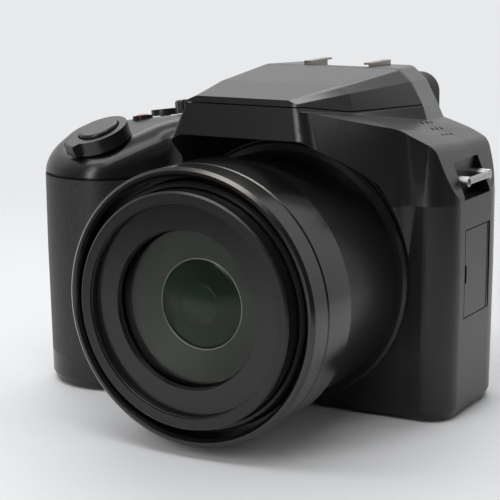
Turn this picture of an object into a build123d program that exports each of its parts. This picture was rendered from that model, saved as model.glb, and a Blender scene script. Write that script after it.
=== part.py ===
from build123d import *
import math
import os

# Bridge camera with a telescoping zoom lens, a pop-up flash and a moulded hand grip.
# Millimetres. X runs along the width with the hand grip on -X, the lens looks along -Y, +Z is up.
# The origin is under the middle of the camera, on the surface that it stands on.

# Driving dimensions
overall_width = 130.2
overall_height = 94.3
overall_depth = 119.2
lens_x = 15.9
lens_z = 38.8
wall = 2.0
skin = 1.2
fit_gap = 0.3
running_gap = 0.05
overrun = 5.0

half_width = overall_width / 2
half_depth = overall_depth / 2

# Casing outline, seen from above: corners of X, Y and radius, from the right front corner round
face_y = -3.0
back_y = 41.0
side_x = 64.0
grip_front_y = -21.0
waist_inset = 0.5
shoulder_z = 60.0
waist_z = 40.0
roof_z = 95.0
visor_y = -33.4
visor_top_y = -27.2
fender_seed = 0.3
plain_corners = (
    (side_x, face_y, 8.0),
    (side_x, back_y, 15.0),
    (-side_x, back_y, 15.0),
    (-side_x, grip_front_y, 20.0),
    (-37.0, grip_front_y, 12.0),
    (-21.0, face_y, 6.0),
    (-16.0, face_y, 0.5),
)
waist_corners = plain_corners + (
    (-9.0, face_y - fender_seed, 1.0),
    (40.0, face_y - fender_seed, 7.0),
    (51.5, face_y, 4.0),
)
shoulder_corners = plain_corners + (
    (-11.8, visor_y, 2.0),
    (42.0, visor_y, 7.0),
    (52.0, face_y - 1.0, 4.0),
)
roof_corners = (
    (61.5, 2.0, 8.0),
    (62.0, back_y - 1.0, 15.0),
    (-side_x, back_y, 15.0),
    (-side_x, grip_front_y, 20.0),
    (-37.0, grip_front_y, 12.0),
    (-21.0, face_y, 6.0),
    (-13.0, 0.5, 0.5),
    (1.6, visor_top_y, 2.0),
    (31.0, visor_top_y, 4.0),
    (50.0, face_y - 2.0, 4.0),
)
bottom_edge_r = 3.0
bottom_round_shares = ((1.0, 0.0), (0.3, 0.3), (0.0, 1.0))

# Sloping top of the hand grip, and the plate behind it
plate_z = 77.0
plate_x = -42.0
plate_tilt = 0.14
plate_back_drop = 2.4
grip_slope_back_y = 4.0
grip_slope_angle = 21.0
grip_bend_r = 20.0
grip_crown_r = 8.0
grip_block_low_z = 45.0
grip_block_right_x = -4.0
plate_right_x = -8.5

# Cone that clears the lens barrel in front of the casing
cove_front_y = -30.0
cove_front_r = 44.0
cove_mid_y = -13.0
cove_mid_r = 42.4
cove_back_r = 37.0
visor_low_z = 79.0

# Hump: half-widths and heights of its sections, from the visor to the eyepiece
hump_half = 30.0
hump_rise = 34.3
section_ys = (-34.0, -8.0, 22.0, 46.0)
crown_shares = ((0.42, 0.836), (0.60, 0.915), (0.70, 0.975), (0.55, 0.955))
edge_shares = ((0.493, 0.819), (0.70, 0.855), (0.84, 0.875), (0.70, 0.84))
seam_shares = ((0.52, 0.79), (0.753, 0.706), (0.97, 0.68), (0.82, 0.63))
foot_shares = ((0.60, 0.784), (0.78, 0.695), (1.01, 0.57), (0.88, 0.53))
left_foot_shares = (0.70, 0.80, 1.0, 0.90)
shoulder_shares = ((1.037, 0.655), (1.137, 0.60), (1.20, 0.48), (1.20, 0.45))
end_shares = ((1.44, 0.455), (1.44, 0.452), (1.43, 0.402), (1.43, 0.379))
drop_shares = ((1.62, 0.0), (1.62, 0.0), (1.62, 0.0), (1.62, 0.0))
soft_r = 3.0
crisp_r = 0.5
shoulder_r = 5.0

# Seams between the covers
rear_seam_y = 31.0
cap_depth = 2.3
cap_front_y = -2.5
plate_cap_depth = 3.2
cap_right_x = 40.0
deck_z = 80.0
deck_top_z = 81.5
deck_front_y = -18.0
bulkhead_y = 23.5
bulkhead_back_y = 25.0

# Flash lid and flash
lid_seam_points = ((-40.0, 88.0), (-26.0, 87.6), (-10.0, 85.0), (0.0, 84.6), (21.8, 84.0))
lid_back_y = 23.1
lid_axis_y = 20.2
lid_axis_z = 91.0
lid_knuckle_r = 2.9
lid_pin_r = 0.8
lid_boss_r = 1.6
lid_boss_near = 12.0
lid_lug_near = 15.3
lid_lug_far = 18.3
lid_lug_half = 1.6
lid_pin_near = 12.6
flash_half = 12.2
cheek_width = 1.5
cheek_front_y = -23.5
cheek_back_y = -14.0
cheek_low_z = 82.0
cheek_high_z = 89.0
reflector_high_z = 86.6
reflector_wall = 0.8
reflector_back_y = -16.0
flash_window_depth = 1.0

# Lens barrels: radii and Y of the fixed and sliding tubes
front_ring_r = 36.1
front_ring_bore_r = 33.7
front_ring_front_y = -56.7
front_ring_back_y = -36.0
front_ring_groove_y = -49.5
front_ring_groove_width = 1.0
front_ring_groove_depth = 0.5
front_ring_chamfer = 0.8
fixed_r = 34.0
fixed_front_r = 33.7
fixed_bore_r = 32.6
fixed_front_y = -50.0
fixed_step_y = -38.0
fixed_back_y = 14.0
fixed_flange_r = 35.4
fixed_plate = 2.0
fixed_window_r = 9.0
flange_ring_r = 36.6
flange_ring_front_y = -5.2
barrel_1_r = 32.2
barrel_1_bore_r = 30.9
barrel_1_front_y = -54.5
barrel_1_back_y = -12.5
barrel_2_r = 30.5
barrel_2_bore_r = 29.2
barrel_2_back_y = -19.0
filter_r = 27.5
filter_depth = 2.4
barrel_2_floor = 2.5
cell_r = 23.0
cell_bore_r = 21.1
cell_lip_r = 19.8
cell_back_y = -51.0
cell_lip_front_y = -52.3
name_ring_r = 27.2
name_ring_bore_r = 20.2
name_ring_thick = 1.2
element_r = 20.9
element_rim_y = -55.5
element_vertex_y = -57.1
baffle_r = 22.8
baffle_hole_r = 11.8
baffle_back_y = -48.4
drive_ring_r = 32.53
drive_ring_bore_r = 29.5
drive_ring_front_y = -11.8
drive_ring_back_y = 13.2
rod_r = 1.0
rod_orbit = 20.0
rod_front_y = -44.0
rod_hole_r = 1.06
variator_r = 22.5
variator_lens_r = 11.0
variator_front_y = -32.0
variator_thick = 3.0
iris_front_y = -6.0
iris_thick = 3.0
iris_hole_r = 5.0
focus_front_y = 3.0
focus_thick = 3.0
focus_lens_r = 8.0
group_bulge = 1.0
sensor_front_y = 14.2
sensor_plate_back_y = 17.5
sensor_width = 11.0
sensor_height = 9.0
motor_x = -21.6
motor_z = 13.0
motor_r = 4.8
motor_front_y = -0.5

# Chassis, board and battery
chassis_front_y = 27.5
chassis_thick = 1.0
chassis_left_x = -27.0
chassis_right_x = 58.0
chassis_low_z = 2.3
chassis_high_z = 66.0
chassis_foot_y = 5.0
board_front_y = 30.0
board_thick = 1.6
board_low_z = 6.0
board_high_z = 64.0
board_left_x = -25.0
board_right_x = 56.0
standoff_r = 2.0
door_left_x = -56.0
door_right_x = -29.6
door_front_y = -5.5
door_back_y = 27.5
door_axis_x = -29.2
door_axis_z = 1.0
door_knuckle_r = 1.0
door_knuckle_front_y = 2.0
door_knuckle_back_y = 12.0
door_pin_r = 0.6
door_pin_reach = 3.0
latch_x = -51.0
latch_y = 6.0
latch_length = 8.0
latch_width = 5.0
latch_depth = 1.0
latch_travel = 3.0
latch_ribs = 4
chamber_wall = 1.2
chamber_high_z = 51.0
battery_width = 21.0
battery_depth = 31.8
battery_height = 45.0
battery_low_z = 3.0
card_width = 2.1
card_depth = 24.0
card_height = 32.0
card_low_z = 5.0
tripod_y = 21.5
tripod_bore_r = 3.175
tripod_bore_depth = 5.5
tripod_r = 5.5
tripod_height = 7.0
base_left_x = -26.0
base_right_x = 57.0
base_front_y = 5.5
base_back_y = 37.0
base_thick = 2.2
base_screw_r = 1.6
base_screw_shank_r = 0.9
base_screw_inset = 4.0

# Back of the camera
monitor_left_x = -17.0
monitor_right_x = 49.0
monitor_low_z = 9.0
monitor_high_z = 61.0
monitor_lip = 2.0
monitor_glass_thick = 1.2
monitor_panel_thick = 3.5
eyepiece_z = 77.0
housing_half = 18.0
housing_half_height = 11.5
housing_back_half = 16.5
housing_back_half_height = 10.5
housing_back_y = 50.0
housing_r = 4.0
tube_half = 11.0
tube_half_height = 8.0
tube_front_y = 30.0
tube_back_y = 49.0
tube_wall = 0.8
eyecup_half = 18.5
eyecup_half_height = 12.5
eyecup_front_y = 48.6
eyecup_wall = 1.4
eyecup_hole_half = 12.0
eyecup_hole_half_height = 8.5
eyecup_r = 6.0
button_rise = 0.8
flange_extra_r = 0.8
collar_gap = 0.7
flange_thick = 1.0
pad_x = -36.0
pad_z = 32.0
pad_r = 10.5
set_r = 4.5
playback_x = -25.0
playback_z = 51.0
playback_r = 3.0
display_x = -46.0
display_z = 15.0
delete_x = -27.0
delete_z = 14.0
lock_x = -16.0
lock_z = 68.0
finder_x = -7.0
finder_z = 68.0
small_r = 2.4
wheel_x = -38.0
wheel_z = 67.0
wheel_r = 8.0
wheel_y = 34.6
wheel_thick = 3.6
wheel_pin_r = 1.2
wheel_shelf_half = 2.4
wheel_shelf_thick = 1.6
diopter_r = 3.6
diopter_y = 44.6
diopter_thick = 1.6
diopter_axle_r = 1.2
diopter_notch_r = 0.3
thumb_left_x = -70.0
thumb_right_x = -52.0
thumb_low_z = 38.0
thumb_high_z = 61.0
thumb_front_y = 31.0

# Grip rubber
rubber_low_z = 9.5
rubber_high_z = 62.3
rubber_groove = 0.8
rubber_right_x = -22.0
rubber_back_y = 16.0

# Controls on top
shutter_x = -41.0
shutter_y = -10.0
shutter_r = 5.9
shutter_boss_r = 6.2
shutter_low = 2.8
shutter_high = 5.4
lever_r = 8.5
lever_bore_r = 6.27
lever_low = 0.3
lever_high = 4.4
lever_tab_reach = 10.5
lever_tab_angle = 238
lever_rib_pitch = 8
lever_rib_width = 0.5
lever_rib_count = 4
shutter_edge_r = 0.75
lever_tab_half = 3.0
dial_x = -23.4
dial_y = 20.0
dial_r = 10.0
dial_height = 4.2
dial_notches = 24
dial_notch_r = 0.6
power_x = -41.0
power_y = 23.0
power_r = 4.2
power_height = 2.2
power_tab_reach = 7.0
power_tab_half = 1.6
power_tab_angle = 100
movie_x = -38.6
movie_y = 7.0
movie_r = 3.0
drive_x = -51.0
drive_y = 11.0
drive_r = 2.4
stem_r = 1.6
stem_depth = 4.5

# Hot shoe, strap bars, terminal door
shoe_half = 10.7
shoe_front_y = 26.5
shoe_back_y = 40.0
shoe_floor_z = 91.3
shoe_sheet = 0.7
shoe_lip = 2.2
shoe_pocket_wall = 2.0
contact_r = 1.0
contact_height = 0.4
contact_x = 3.0
contact_y = 2.0
shoe_rail_thick = 0.5
mic_half = 2.0
mic_x = -3.2
mic_y = 24.4
speaker_x = 50.0
speaker_y = 20.0
speaker_r = 0.6
speaker_step = 3.0
strap_r = 1.0
strap_post_r = 1.4
strap_z = 65.5
strap_front_y = 8.5
strap_back_y = 23.5
pocket_depth = 4.5
pocket_low_z = 60.5
pocket_high_z = 70.5
pocket_front_y = 7.0
pocket_back_y = 25.0
pocket_wall = 1.6
terminal_front_y = 8.2
terminal_axis_y = 24.6
terminal_low_z = 28.0
terminal_high_z = 52.0
terminal_thick = 1.6
terminal_knuckle_r = 0.8
terminal_relief_y = 23.4
socket_depth = 4.0
socket_heights = (4.5, 6.0, 6.0)
socket_pitch = 8.0
socket_first_rise = 4.5

parts = {}


def span_box(x0, x1, y0, y1, z0, z1):
    """A box between two corners."""
    centre = Pos((x0 + x1) / 2, (y0 + y1) / 2, (z0 + z1) / 2)
    return centre * Box(x1 - x0, y1 - y0, z1 - z0)


def rod(start, direction, radius, length):
    """A round bar from a point along a direction."""
    return extrude(Plane(origin=start, z_dir=direction) * Circle(radius), length)


def turned(points):
    """A solid turned about the lens axis, from points of radius and Y."""
    centre = Plane(origin=(lens_x, 0, lens_z), x_dir=(1, 0, 0), z_dir=(0, 0, 1))
    profile = centre * make_face(Polyline(*points, close=True))
    return revolve(profile, Axis((lens_x, 0, lens_z), (0, 1, 0)))


def side_prism(points, x0, x1):
    """A prism along X, from points of Y and Z."""
    plane = Plane(origin=(x0, 0, 0), x_dir=(0, 1, 0), z_dir=(1, 0, 0))
    return extrude(plane * make_face(Polyline(*points, close=True)), x1 - x0)


def drawn_in(corners, inset):
    """The corners of an outline, drawn in by a distance, with their radii to suit."""
    moved = []
    for index, (x, y, radius) in enumerate(corners):
        x0, y0, _ = corners[index - 1]
        x1, y1, _ = corners[(index + 1) % len(corners)]
        before = Vector(x - x0, y - y0).normalized()
        after = Vector(x1 - x, y1 - y).normalized()
        turn = before.X * after.Y - before.Y * after.X
        share = inset / (1 + before.dot(after))
        x_step = -(before.Y + after.Y) * share
        y_step = (before.X + after.X) * share
        change = -inset if turn > 0 else inset
        moved.append((x + x_step, y + y_step, max(radius + change, crisp_r)))
    return moved


def outline_face(corners, inset):
    """A face inside a rounded outline."""
    moved = drawn_in(corners, inset)
    path = FilletPolyline(
        *[(x, y) for x, y, radius in moved], radius=[radius for x, y, radius in moved], close=True
    )
    return make_face(path)


def hump_section(row, thickness):
    """The corners of one cross-section of the roof, lowered and narrowed by a thickness."""

    def place(shares, side):
        reach, rise = shares
        x = lens_x + side * (hump_half * reach - thickness)
        return (x, shoulder_z + hump_rise * rise - thickness)

    foot_x = lens_x - hump_half * left_foot_shares[row] + thickness
    foot_z = plate_z - thickness
    return [
        (-roof_z, 0, crisp_r),
        (-roof_z, shoulder_z, crisp_r),
        (foot_x, foot_z, crisp_r),
        (*place(seam_shares[row], -1), crisp_r),
        (*place(edge_shares[row], -1), crisp_r),
        (*place(crown_shares[row], -1), soft_r),
        (*place(crown_shares[row], 1), soft_r),
        (*place(edge_shares[row], 1), crisp_r),
        (*place(seam_shares[row], 1), crisp_r),
        (*place(foot_shares[row], 1), crisp_r),
        (*place(shoulder_shares[row], 1), shoulder_r),
        (*place(end_shares[row], 1), shoulder_r),
        (*place(drop_shares[row], 1), crisp_r),
        (roof_z, 0, crisp_r),
    ]


def roof(thickness):
    """The top surfaces of the casing, hump and right shoulder, as one ruled loft."""
    faces = []
    for row, y in enumerate(section_ys):
        corners = hump_section(row, thickness)
        path = FilletPolyline(
            *[(x, z) for x, z, r in corners], radius=[r for x, z, r in corners], close=True
        )
        plane = Plane(origin=(0, y, 0), x_dir=(1, 0, 0), z_dir=(0, -1, 0))
        faces.append(plane * make_face(path))
    return loft(faces, ruled=True)


def cove(extra):
    """The cone that clears the lens barrel, with the flat underside of the visor."""
    far_y = visor_y - overrun
    near_y = face_y + extra
    points = [
        (0, far_y),
        (cove_front_r + extra, far_y),
        (cove_front_r + extra, cove_front_y),
        (cove_mid_r + extra, cove_mid_y),
        (cove_back_r + extra, near_y),
        (0, near_y),
    ]
    cone = turned(points)
    top = visor_low_z + extra
    return cone & span_box(-side_x, side_x, far_y, near_y, -side_x, top)


def grip_block(thickness):
    """The hand grip and the plate behind it above the waist, with a rounded crown."""
    corners = list(plain_corners[2:6])
    corners.append((side_x, face_y, crisp_r))
    corners.append((side_x, back_y, crisp_r))
    outline = outline_face(corners, thickness)
    block = extrude(Pos(0, 0, grip_block_low_z) * outline, roof_z - grip_block_low_z)
    reach = grip_slope_back_y - grip_front_y
    front_z = plate_z - math.tan(math.radians(grip_slope_angle)) * reach
    slope = math.tan(math.radians(grip_slope_angle))
    far_y = grip_front_y - overrun
    points = [
        (far_y, grip_block_low_z - roof_z),
        (far_y, front_z - slope * overrun - thickness),
        (grip_slope_back_y, plate_z - thickness),
        (back_y + overrun, plate_z - plate_back_drop - thickness),
        (back_y + overrun, grip_block_low_z - roof_z),
    ]
    radii = [crisp_r, crisp_r, grip_bend_r, crisp_r, crisp_r]
    drop = plate_tilt * (roof_z + plate_x)
    plane = Plane(origin=(-roof_z, 0, -drop), x_dir=(0, 1, 0), z_dir=(1, 0, 0))
    profile = plane * make_face(FilletPolyline(*points, radius=radii, close=True))
    block = block & extrude(profile, 2 * roof_z, dir=(1, 0, plate_tilt))
    block = block & span_box(-roof_z, grip_block_right_x, -roof_z, roof_z, 0, roof_z + overrun)
    plate_edge = block.faces().sort_by(Axis.Z)[-1].edges().sort_by(Axis.X)[0]
    return fillet(plate_edge, grip_crown_r - thickness)


def walls(thickness):
    """The casing without its roof: outlines joined from the bottom to above the hump."""
    levels = []
    for inset_share, rise_share in bottom_round_shares:
        inset = thickness + waist_inset + inset_share * bottom_edge_r
        levels.append((thickness + rise_share * bottom_edge_r, waist_corners, inset))
    levels.append((waist_z, waist_corners, thickness))
    levels.append((shoulder_z, shoulder_corners, thickness))
    levels.append((roof_z, roof_corners, thickness))
    faces = [Pos(0, 0, z) * outline_face(corners, inset) for z, corners, inset in levels]
    return loft(faces, ruled=True)


def casing(thickness):
    """The whole outer form of the casing, or with a thickness the space inside it."""
    body = walls(thickness)
    low_x = -roof_z
    below = span_box(low_x, roof_z, low_x, roof_z, -overrun, grip_block_low_z)
    right = span_box(plain_corners[-1][0], roof_z, low_x, roof_z, grip_block_low_z, roof_z)
    return (body & below) + (body & right & roof(thickness)) + grip_block(thickness) - cove(thickness)


def add(name, shape):
    """Keep a finished part under its node name."""
    parts[name] = shape


def lid_space(gap):
    """The space of the flash lid above its seam, widened by a gap."""
    far_x = hump_half + overrun
    x0 = lens_x - far_x
    x1 = lens_x + far_x
    seam = [(y, z - gap) for y, z in lid_seam_points]
    last_y, last_z = seam[-1]
    low = seam[:-1]
    low.append((lid_axis_y, last_z))
    low.append((lid_axis_y, roof_z + overrun))
    low.append((seam[0][0], roof_z + overrun))
    heel = [
        (lid_axis_y, last_z),
        (last_y + gap, last_z),
        (lid_back_y + gap, lid_axis_z),
        (lid_axis_y, lid_axis_z),
    ]
    knuckle = rod((x0, lid_axis_y, lid_axis_z), (1, 0, 0), lid_knuckle_r + gap, x1 - x0)
    return side_prism(low, x0, x1) + side_prism(heel, x0, x1) + knuckle


def plate_space(depth):
    """What is above the grip top and the plate, lowered by a depth."""
    slope = math.tan(math.radians(grip_slope_angle))
    far_y = grip_front_y - overrun
    points = [
        (far_y, plate_z - slope * (grip_slope_back_y - far_y) - depth),
        (grip_slope_back_y, plate_z - depth),
        (back_y + overrun, plate_z - plate_back_drop - depth),
        (back_y + overrun, roof_z + half_width),
        (far_y, roof_z + half_width),
    ]
    drop = plate_tilt * (roof_z + plate_x)
    plane = Plane(origin=(-roof_z, 0, -drop), x_dir=(0, 1, 0), z_dir=(1, 0, 0))
    profile = plane * make_face(Polyline(*points, close=True))
    length = (roof_z + plate_right_x) * math.hypot(1, plate_tilt)
    return extrude(profile, length, dir=(1, 0, plate_tilt))


def plate_plane(x, y):
    """A plane on the plate behind the grip, square to the plate."""
    fall = plate_back_drop / (back_y + overrun - grip_slope_back_y)
    z = plate_z + plate_tilt * (x - plate_x) - fall * (y - grip_slope_back_y)
    return Plane(origin=(x, y, z), x_dir=(1, 0, plate_tilt), z_dir=(-plate_tilt, fall, 1))


def slope_plane(x, y):
    """A plane on the sloping top of the grip, square to the slope."""
    slope = math.tan(math.radians(grip_slope_angle))
    z = plate_z + plate_tilt * (x - plate_x) - slope * (grip_slope_back_y - y)
    return Plane(origin=(x, y, z), x_dir=(1, 0, plate_tilt), z_dir=(-plate_tilt, -slope, 1))


def disc(plane, radius, low, high):
    """A round slice standing on a plane between two heights."""
    return extrude(plane.offset(low) * Circle(radius), high - low)


def back_disc(x, z, radius, y0, y1):
    """A round slice along Y at the back of the camera."""
    return rod((x, y0, z), (0, 1, 0), radius, y1 - y0)


outer = casing(0)
inner = casing(wall)
shell = outer - inner
rubber_layer = walls(0) - walls(skin)

# Zones of the covers
behind = span_box(-side_x - overrun, side_x + overrun, rear_seam_y, back_y + overrun, -overrun, roof_z)
cap_low_z = pocket_low_z - pocket_wall
cap_left_x = plain_corners[-1][0]
cap_zone = span_box(cap_left_x, side_x + overrun, cap_front_y, back_y + overrun, cap_low_z, roof_z)
cap_zone += span_box(cap_right_x, side_x + overrun, visor_y, back_y + overrun, cap_low_z, roof_z)
plate_zone = plate_space(plate_cap_depth)
right_shell = shell & cap_zone
under_cap = right_shell & roof(cap_depth)
cap = (right_shell - under_cap) + (shell & plate_zone)
rest = shell - cap
rear_shell = rest & behind
front_shell = rest - behind

# Flash lid: a cap over the well, with cheeks for the flash and bosses for its hinge pins
lid = (outer & lid_space(0)) - inner
for side in (-1, 1):
    near_x = lens_x + side * flash_half
    cheek = span_box(
        min(near_x, near_x + side * cheek_width),
        max(near_x, near_x + side * cheek_width),
        cheek_front_y,
        cheek_back_y,
        cheek_low_z,
        cheek_high_z,
    )
    lid += cheek & outer
    boss_start = (lens_x + side * lid_boss_near, lid_axis_y, lid_axis_z)
    lid += rod(boss_start, (side, 0, 0), lid_boss_r, lid_lug_near - fit_gap - lid_boss_near)
    lug_start = (lens_x + side * (lid_lug_near - fit_gap), lid_axis_y, lid_axis_z)
    room = lid_lug_far - lid_lug_near + 2 * fit_gap
    lid -= rod(lug_start, (side, 0, 0), lid_lug_half + fit_gap, room)
    pin_start = (lens_x + side * lid_pin_near, lid_axis_y, lid_axis_z)
    lid -= rod(pin_start, (side, 0, 0), lid_pin_r + running_gap, lid_lug_far - lid_pin_near)
add("flash_lid", lid)

reflector = span_box(
    lens_x - flash_half, lens_x + flash_half, cheek_front_y + flash_window_depth, reflector_back_y,
    cheek_low_z, reflector_high_z,
)
reflector -= span_box(
    lens_x - flash_half + reflector_wall, lens_x + flash_half - reflector_wall,
    cheek_front_y, reflector_back_y - reflector_wall,
    cheek_low_z + reflector_wall, reflector_high_z - reflector_wall,
)
add("flash_reflector", reflector)
add("flash_window", span_box(
    lens_x - flash_half, lens_x + flash_half, cheek_front_y, cheek_front_y + flash_window_depth,
    cheek_low_z, reflector_high_z,
))
pins = None
for side in (-1, 1):
    pin_start = (lens_x + side * lid_pin_near, lid_axis_y, lid_axis_z)
    pin = rod(pin_start, (side, 0, 0), lid_pin_r, lid_lug_far - lid_pin_near)
    pins = pin if pins is None else pins + pin
add("flash_hinge_pins", pins)

# Top cover
top = cap - lid_space(fit_gap)
hump_left = lens_x - hump_half
hump_right = lens_x + hump_half
deck = span_box(hump_left, hump_right, deck_front_y, bulkhead_back_y, deck_z, deck_top_z)
bulkhead = span_box(hump_left, hump_right, bulkhead_y, bulkhead_back_y, deck_z, roof_z)
shoe_left = lens_x - shoe_half - fit_gap
shoe_right = lens_x + shoe_half + fit_gap
shoe_bed = span_box(
    shoe_left - shoe_pocket_wall, shoe_right + shoe_pocket_wall,
    bulkhead_y, back_y, shoe_floor_z - shoe_pocket_wall, roof_z,
)
deck = (deck + bulkhead + shoe_bed) & inner
for side in (-1, 1):
    inner_x = lens_x + side * lid_lug_near
    outer_x = lens_x + side * lid_lug_far
    lug = span_box(
        min(inner_x, outer_x), max(inner_x, outer_x),
        lid_axis_y - lid_lug_half, lid_axis_y + lid_lug_half, deck_z, lid_axis_z,
    )
    lug += rod((inner_x, lid_axis_y, lid_axis_z), (side, 0, 0), lid_lug_half, lid_lug_far - lid_lug_near)
    lug -= rod((inner_x, lid_axis_y, lid_axis_z), (side, 0, 0), lid_pin_r, lid_lug_far - lid_lug_near)
    deck += lug
top += deck
top -= span_box(shoe_left, shoe_right, shoe_front_y - fit_gap, back_y, shoe_floor_z, roof_z)
for side in (-1, 1):
    slot_x = lens_x + side * (lens_x - mic_x)
    top -= span_box(slot_x - mic_half, slot_x + mic_half, mic_y, mic_y + crisp_r, lid_axis_z, roof_z)
for row in (-1, 0, 1):
    for column in (-1, 0, 1):
        hole_x = speaker_x + column * speaker_step
        hole_y = speaker_y + row * speaker_step
        top -= rod((hole_x, hole_y, shoulder_z + wall), (0, 0, 1), speaker_r, roof_z - shoulder_z)

shutter_plane = slope_plane(shutter_x, shutter_y)
dial_plane = plate_plane(dial_x, dial_y)
power_plane = plate_plane(power_x, power_y)
movie_plane = plate_plane(movie_x, movie_y)
drive_plane = plate_plane(drive_x, drive_y)
top += disc(shutter_plane, shutter_boss_r, -wall, stem_r)
top -= disc(shutter_plane, stem_r + fit_gap, -overrun, overrun)
top -= disc(dial_plane, stem_r + fit_gap, -overrun, overrun)
top -= disc(power_plane, stem_r + fit_gap, -overrun, overrun)
top -= disc(movie_plane, movie_r + fit_gap, -overrun, overrun)
top -= disc(drive_plane, drive_r + fit_gap, -overrun, overrun)

# Strap bars in moulded pockets
bars = None
pockets = []
linings = []
for side in (-1, 1):
    mouth = side * (side_x + overrun)
    floor_x = side * (side_x - pocket_depth)
    back_x = side * (side_x - pocket_depth - pocket_wall)
    pockets.append(span_box(
        min(mouth, floor_x), max(mouth, floor_x),
        pocket_front_y, pocket_back_y, pocket_low_z, pocket_high_z,
    ))
    linings.append(span_box(
        min(mouth, back_x), max(mouth, back_x),
        pocket_front_y - pocket_wall, pocket_back_y + pocket_wall,
        pocket_low_z - pocket_wall, pocket_high_z + pocket_wall,
    ) & outer)
    bar_x = side * (half_width - strap_r)
    post_x = side * (half_width - crisp_r)
    bar = rod((bar_x, strap_front_y, strap_z), (0, 1, 0), strap_r, strap_back_y - strap_front_y)
    for end_y in (strap_front_y, strap_back_y):
        bar += rod((post_x, end_y, strap_z), (-side, 0, 0), strap_post_r, abs(post_x - floor_x))
    bars = bar if bars is None else bars + bar
add("strap_bars", bars)
top = top - linings[0] - pockets[1] + (linings[1] - pockets[1])
add("top_cover", top)

# Front cover with the lens opening, the battery door opening and the recess for the grip rubber
front = front_shell - linings[1] - pockets[0] + (linings[0] - pockets[0])
front -= lid_space(fit_gap)
front -= rod((lens_x, face_y - overrun, lens_z), (0, 1, 0), fixed_r, wall + 2 * overrun)
front -= rod((lens_x, face_y + wall, lens_z), (0, 1, 0), fixed_flange_r, wall)
rubber_zone = span_box(-side_x - overrun, rubber_right_x, grip_front_y - overrun, rubber_back_y,
                       rubber_low_z, rubber_high_z)
groove_zone = span_box(-side_x - overrun, rubber_right_x, grip_front_y - overrun, rubber_back_y,
                       rubber_high_z - crisp_r, rubber_high_z + rubber_groove)
add("grip_rubber", rubber_layer & rubber_zone)
front -= rubber_layer & (rubber_zone + groove_zone)
base_zone = span_box(base_left_x, base_right_x, base_front_y, base_back_y, -overrun, base_thick)
front -= base_zone
door_zone = span_box(door_left_x, door_right_x - crisp_r, door_front_y, door_back_y, -overrun, wall)
knuckle_room = span_box(
    door_right_x - 2 * crisp_r, door_axis_x + door_knuckle_r + fit_gap,
    door_knuckle_front_y - fit_gap, door_knuckle_back_y + fit_gap, -overrun, wall,
)
pin_length = door_knuckle_back_y - door_knuckle_front_y + 2 * door_pin_reach
pin_start = (door_axis_x, door_knuckle_front_y - door_pin_reach, door_axis_z)
door_pin = rod(pin_start, (0, 1, 0), door_pin_r, pin_length)
front -= door_zone
front -= knuckle_room
front -= door_pin
window_low = terminal_low_z - fit_gap
window_high = terminal_high_z + fit_gap
terminal_window = span_box(
    side_x - 2 * wall, side_x + overrun,
    terminal_front_y - fit_gap, terminal_axis_y + terminal_knuckle_r + fit_gap, window_low, window_high,
)
front -= terminal_window
add("front_cover", front)
add("door_pin", door_pin)

# Battery door with its latch
door = span_box(
    door_left_x + fit_gap, door_right_x - 2 * fit_gap - crisp_r,
    door_front_y + fit_gap, door_back_y - fit_gap, 0, wall,
)
door += span_box(
    door_right_x - 2 * crisp_r - fit_gap, door_axis_x,
    door_knuckle_front_y, door_knuckle_back_y, 0, wall,
)
knuckle_length = door_knuckle_back_y - door_knuckle_front_y
knuckle_start = (door_axis_x, door_knuckle_front_y, door_axis_z)
door += rod(knuckle_start, (0, 1, 0), door_knuckle_r, knuckle_length)
door -= rod(knuckle_start, (0, 1, 0), door_pin_r + running_gap, knuckle_length)
door -= span_box(
    latch_x - latch_width / 2 - fit_gap, latch_x + latch_width / 2 + fit_gap,
    latch_y - fit_gap, latch_y + latch_length + latch_travel + fit_gap, 0, latch_depth + fit_gap,
)
add("battery_door", door)
latch = span_box(
    latch_x - latch_width / 2, latch_x + latch_width / 2,
    latch_y, latch_y + latch_length, fit_gap, latch_depth,
)
for rib in range(1, latch_ribs):
    rib_y = latch_y + rib * latch_length / latch_ribs
    latch -= span_box(latch_x - latch_width, latch_x + latch_width, rib_y, rib_y + crisp_r, 0, crisp_r)
add("door_latch", latch)

# Battery, memory card and their chamber
chamber_left = door_left_x - chamber_wall
chamber_right = door_axis_x + door_knuckle_r
chamber = span_box(
    chamber_left, chamber_right + chamber_wall,
    door_front_y - chamber_wall, door_back_y + chamber_wall, wall, chamber_high_z,
)
battery_left = door_left_x + fit_gap + crisp_r
battery_right = battery_left + battery_width
battery_front = door_front_y + crisp_r
chamber -= span_box(
    battery_left - fit_gap, battery_right + fit_gap,
    battery_front - fit_gap, battery_front + battery_depth + fit_gap,
    wall, battery_low_z + battery_height,
)
card_left = battery_right + fit_gap + chamber_wall
card_front = battery_front + overrun
chamber -= span_box(
    card_left - fit_gap, card_left + card_width + fit_gap,
    card_front - fit_gap, card_front + card_depth + fit_gap, wall, card_low_z + card_height,
)
add("battery_chamber", chamber & inner)
add("battery", span_box(
    battery_left, battery_right, battery_front, battery_front + battery_depth,
    battery_low_z, battery_low_z + battery_height,
))
add("memory_card", span_box(
    card_left, card_left + card_width, card_front, card_front + card_depth,
    card_low_z, card_low_z + card_height,
))

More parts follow.
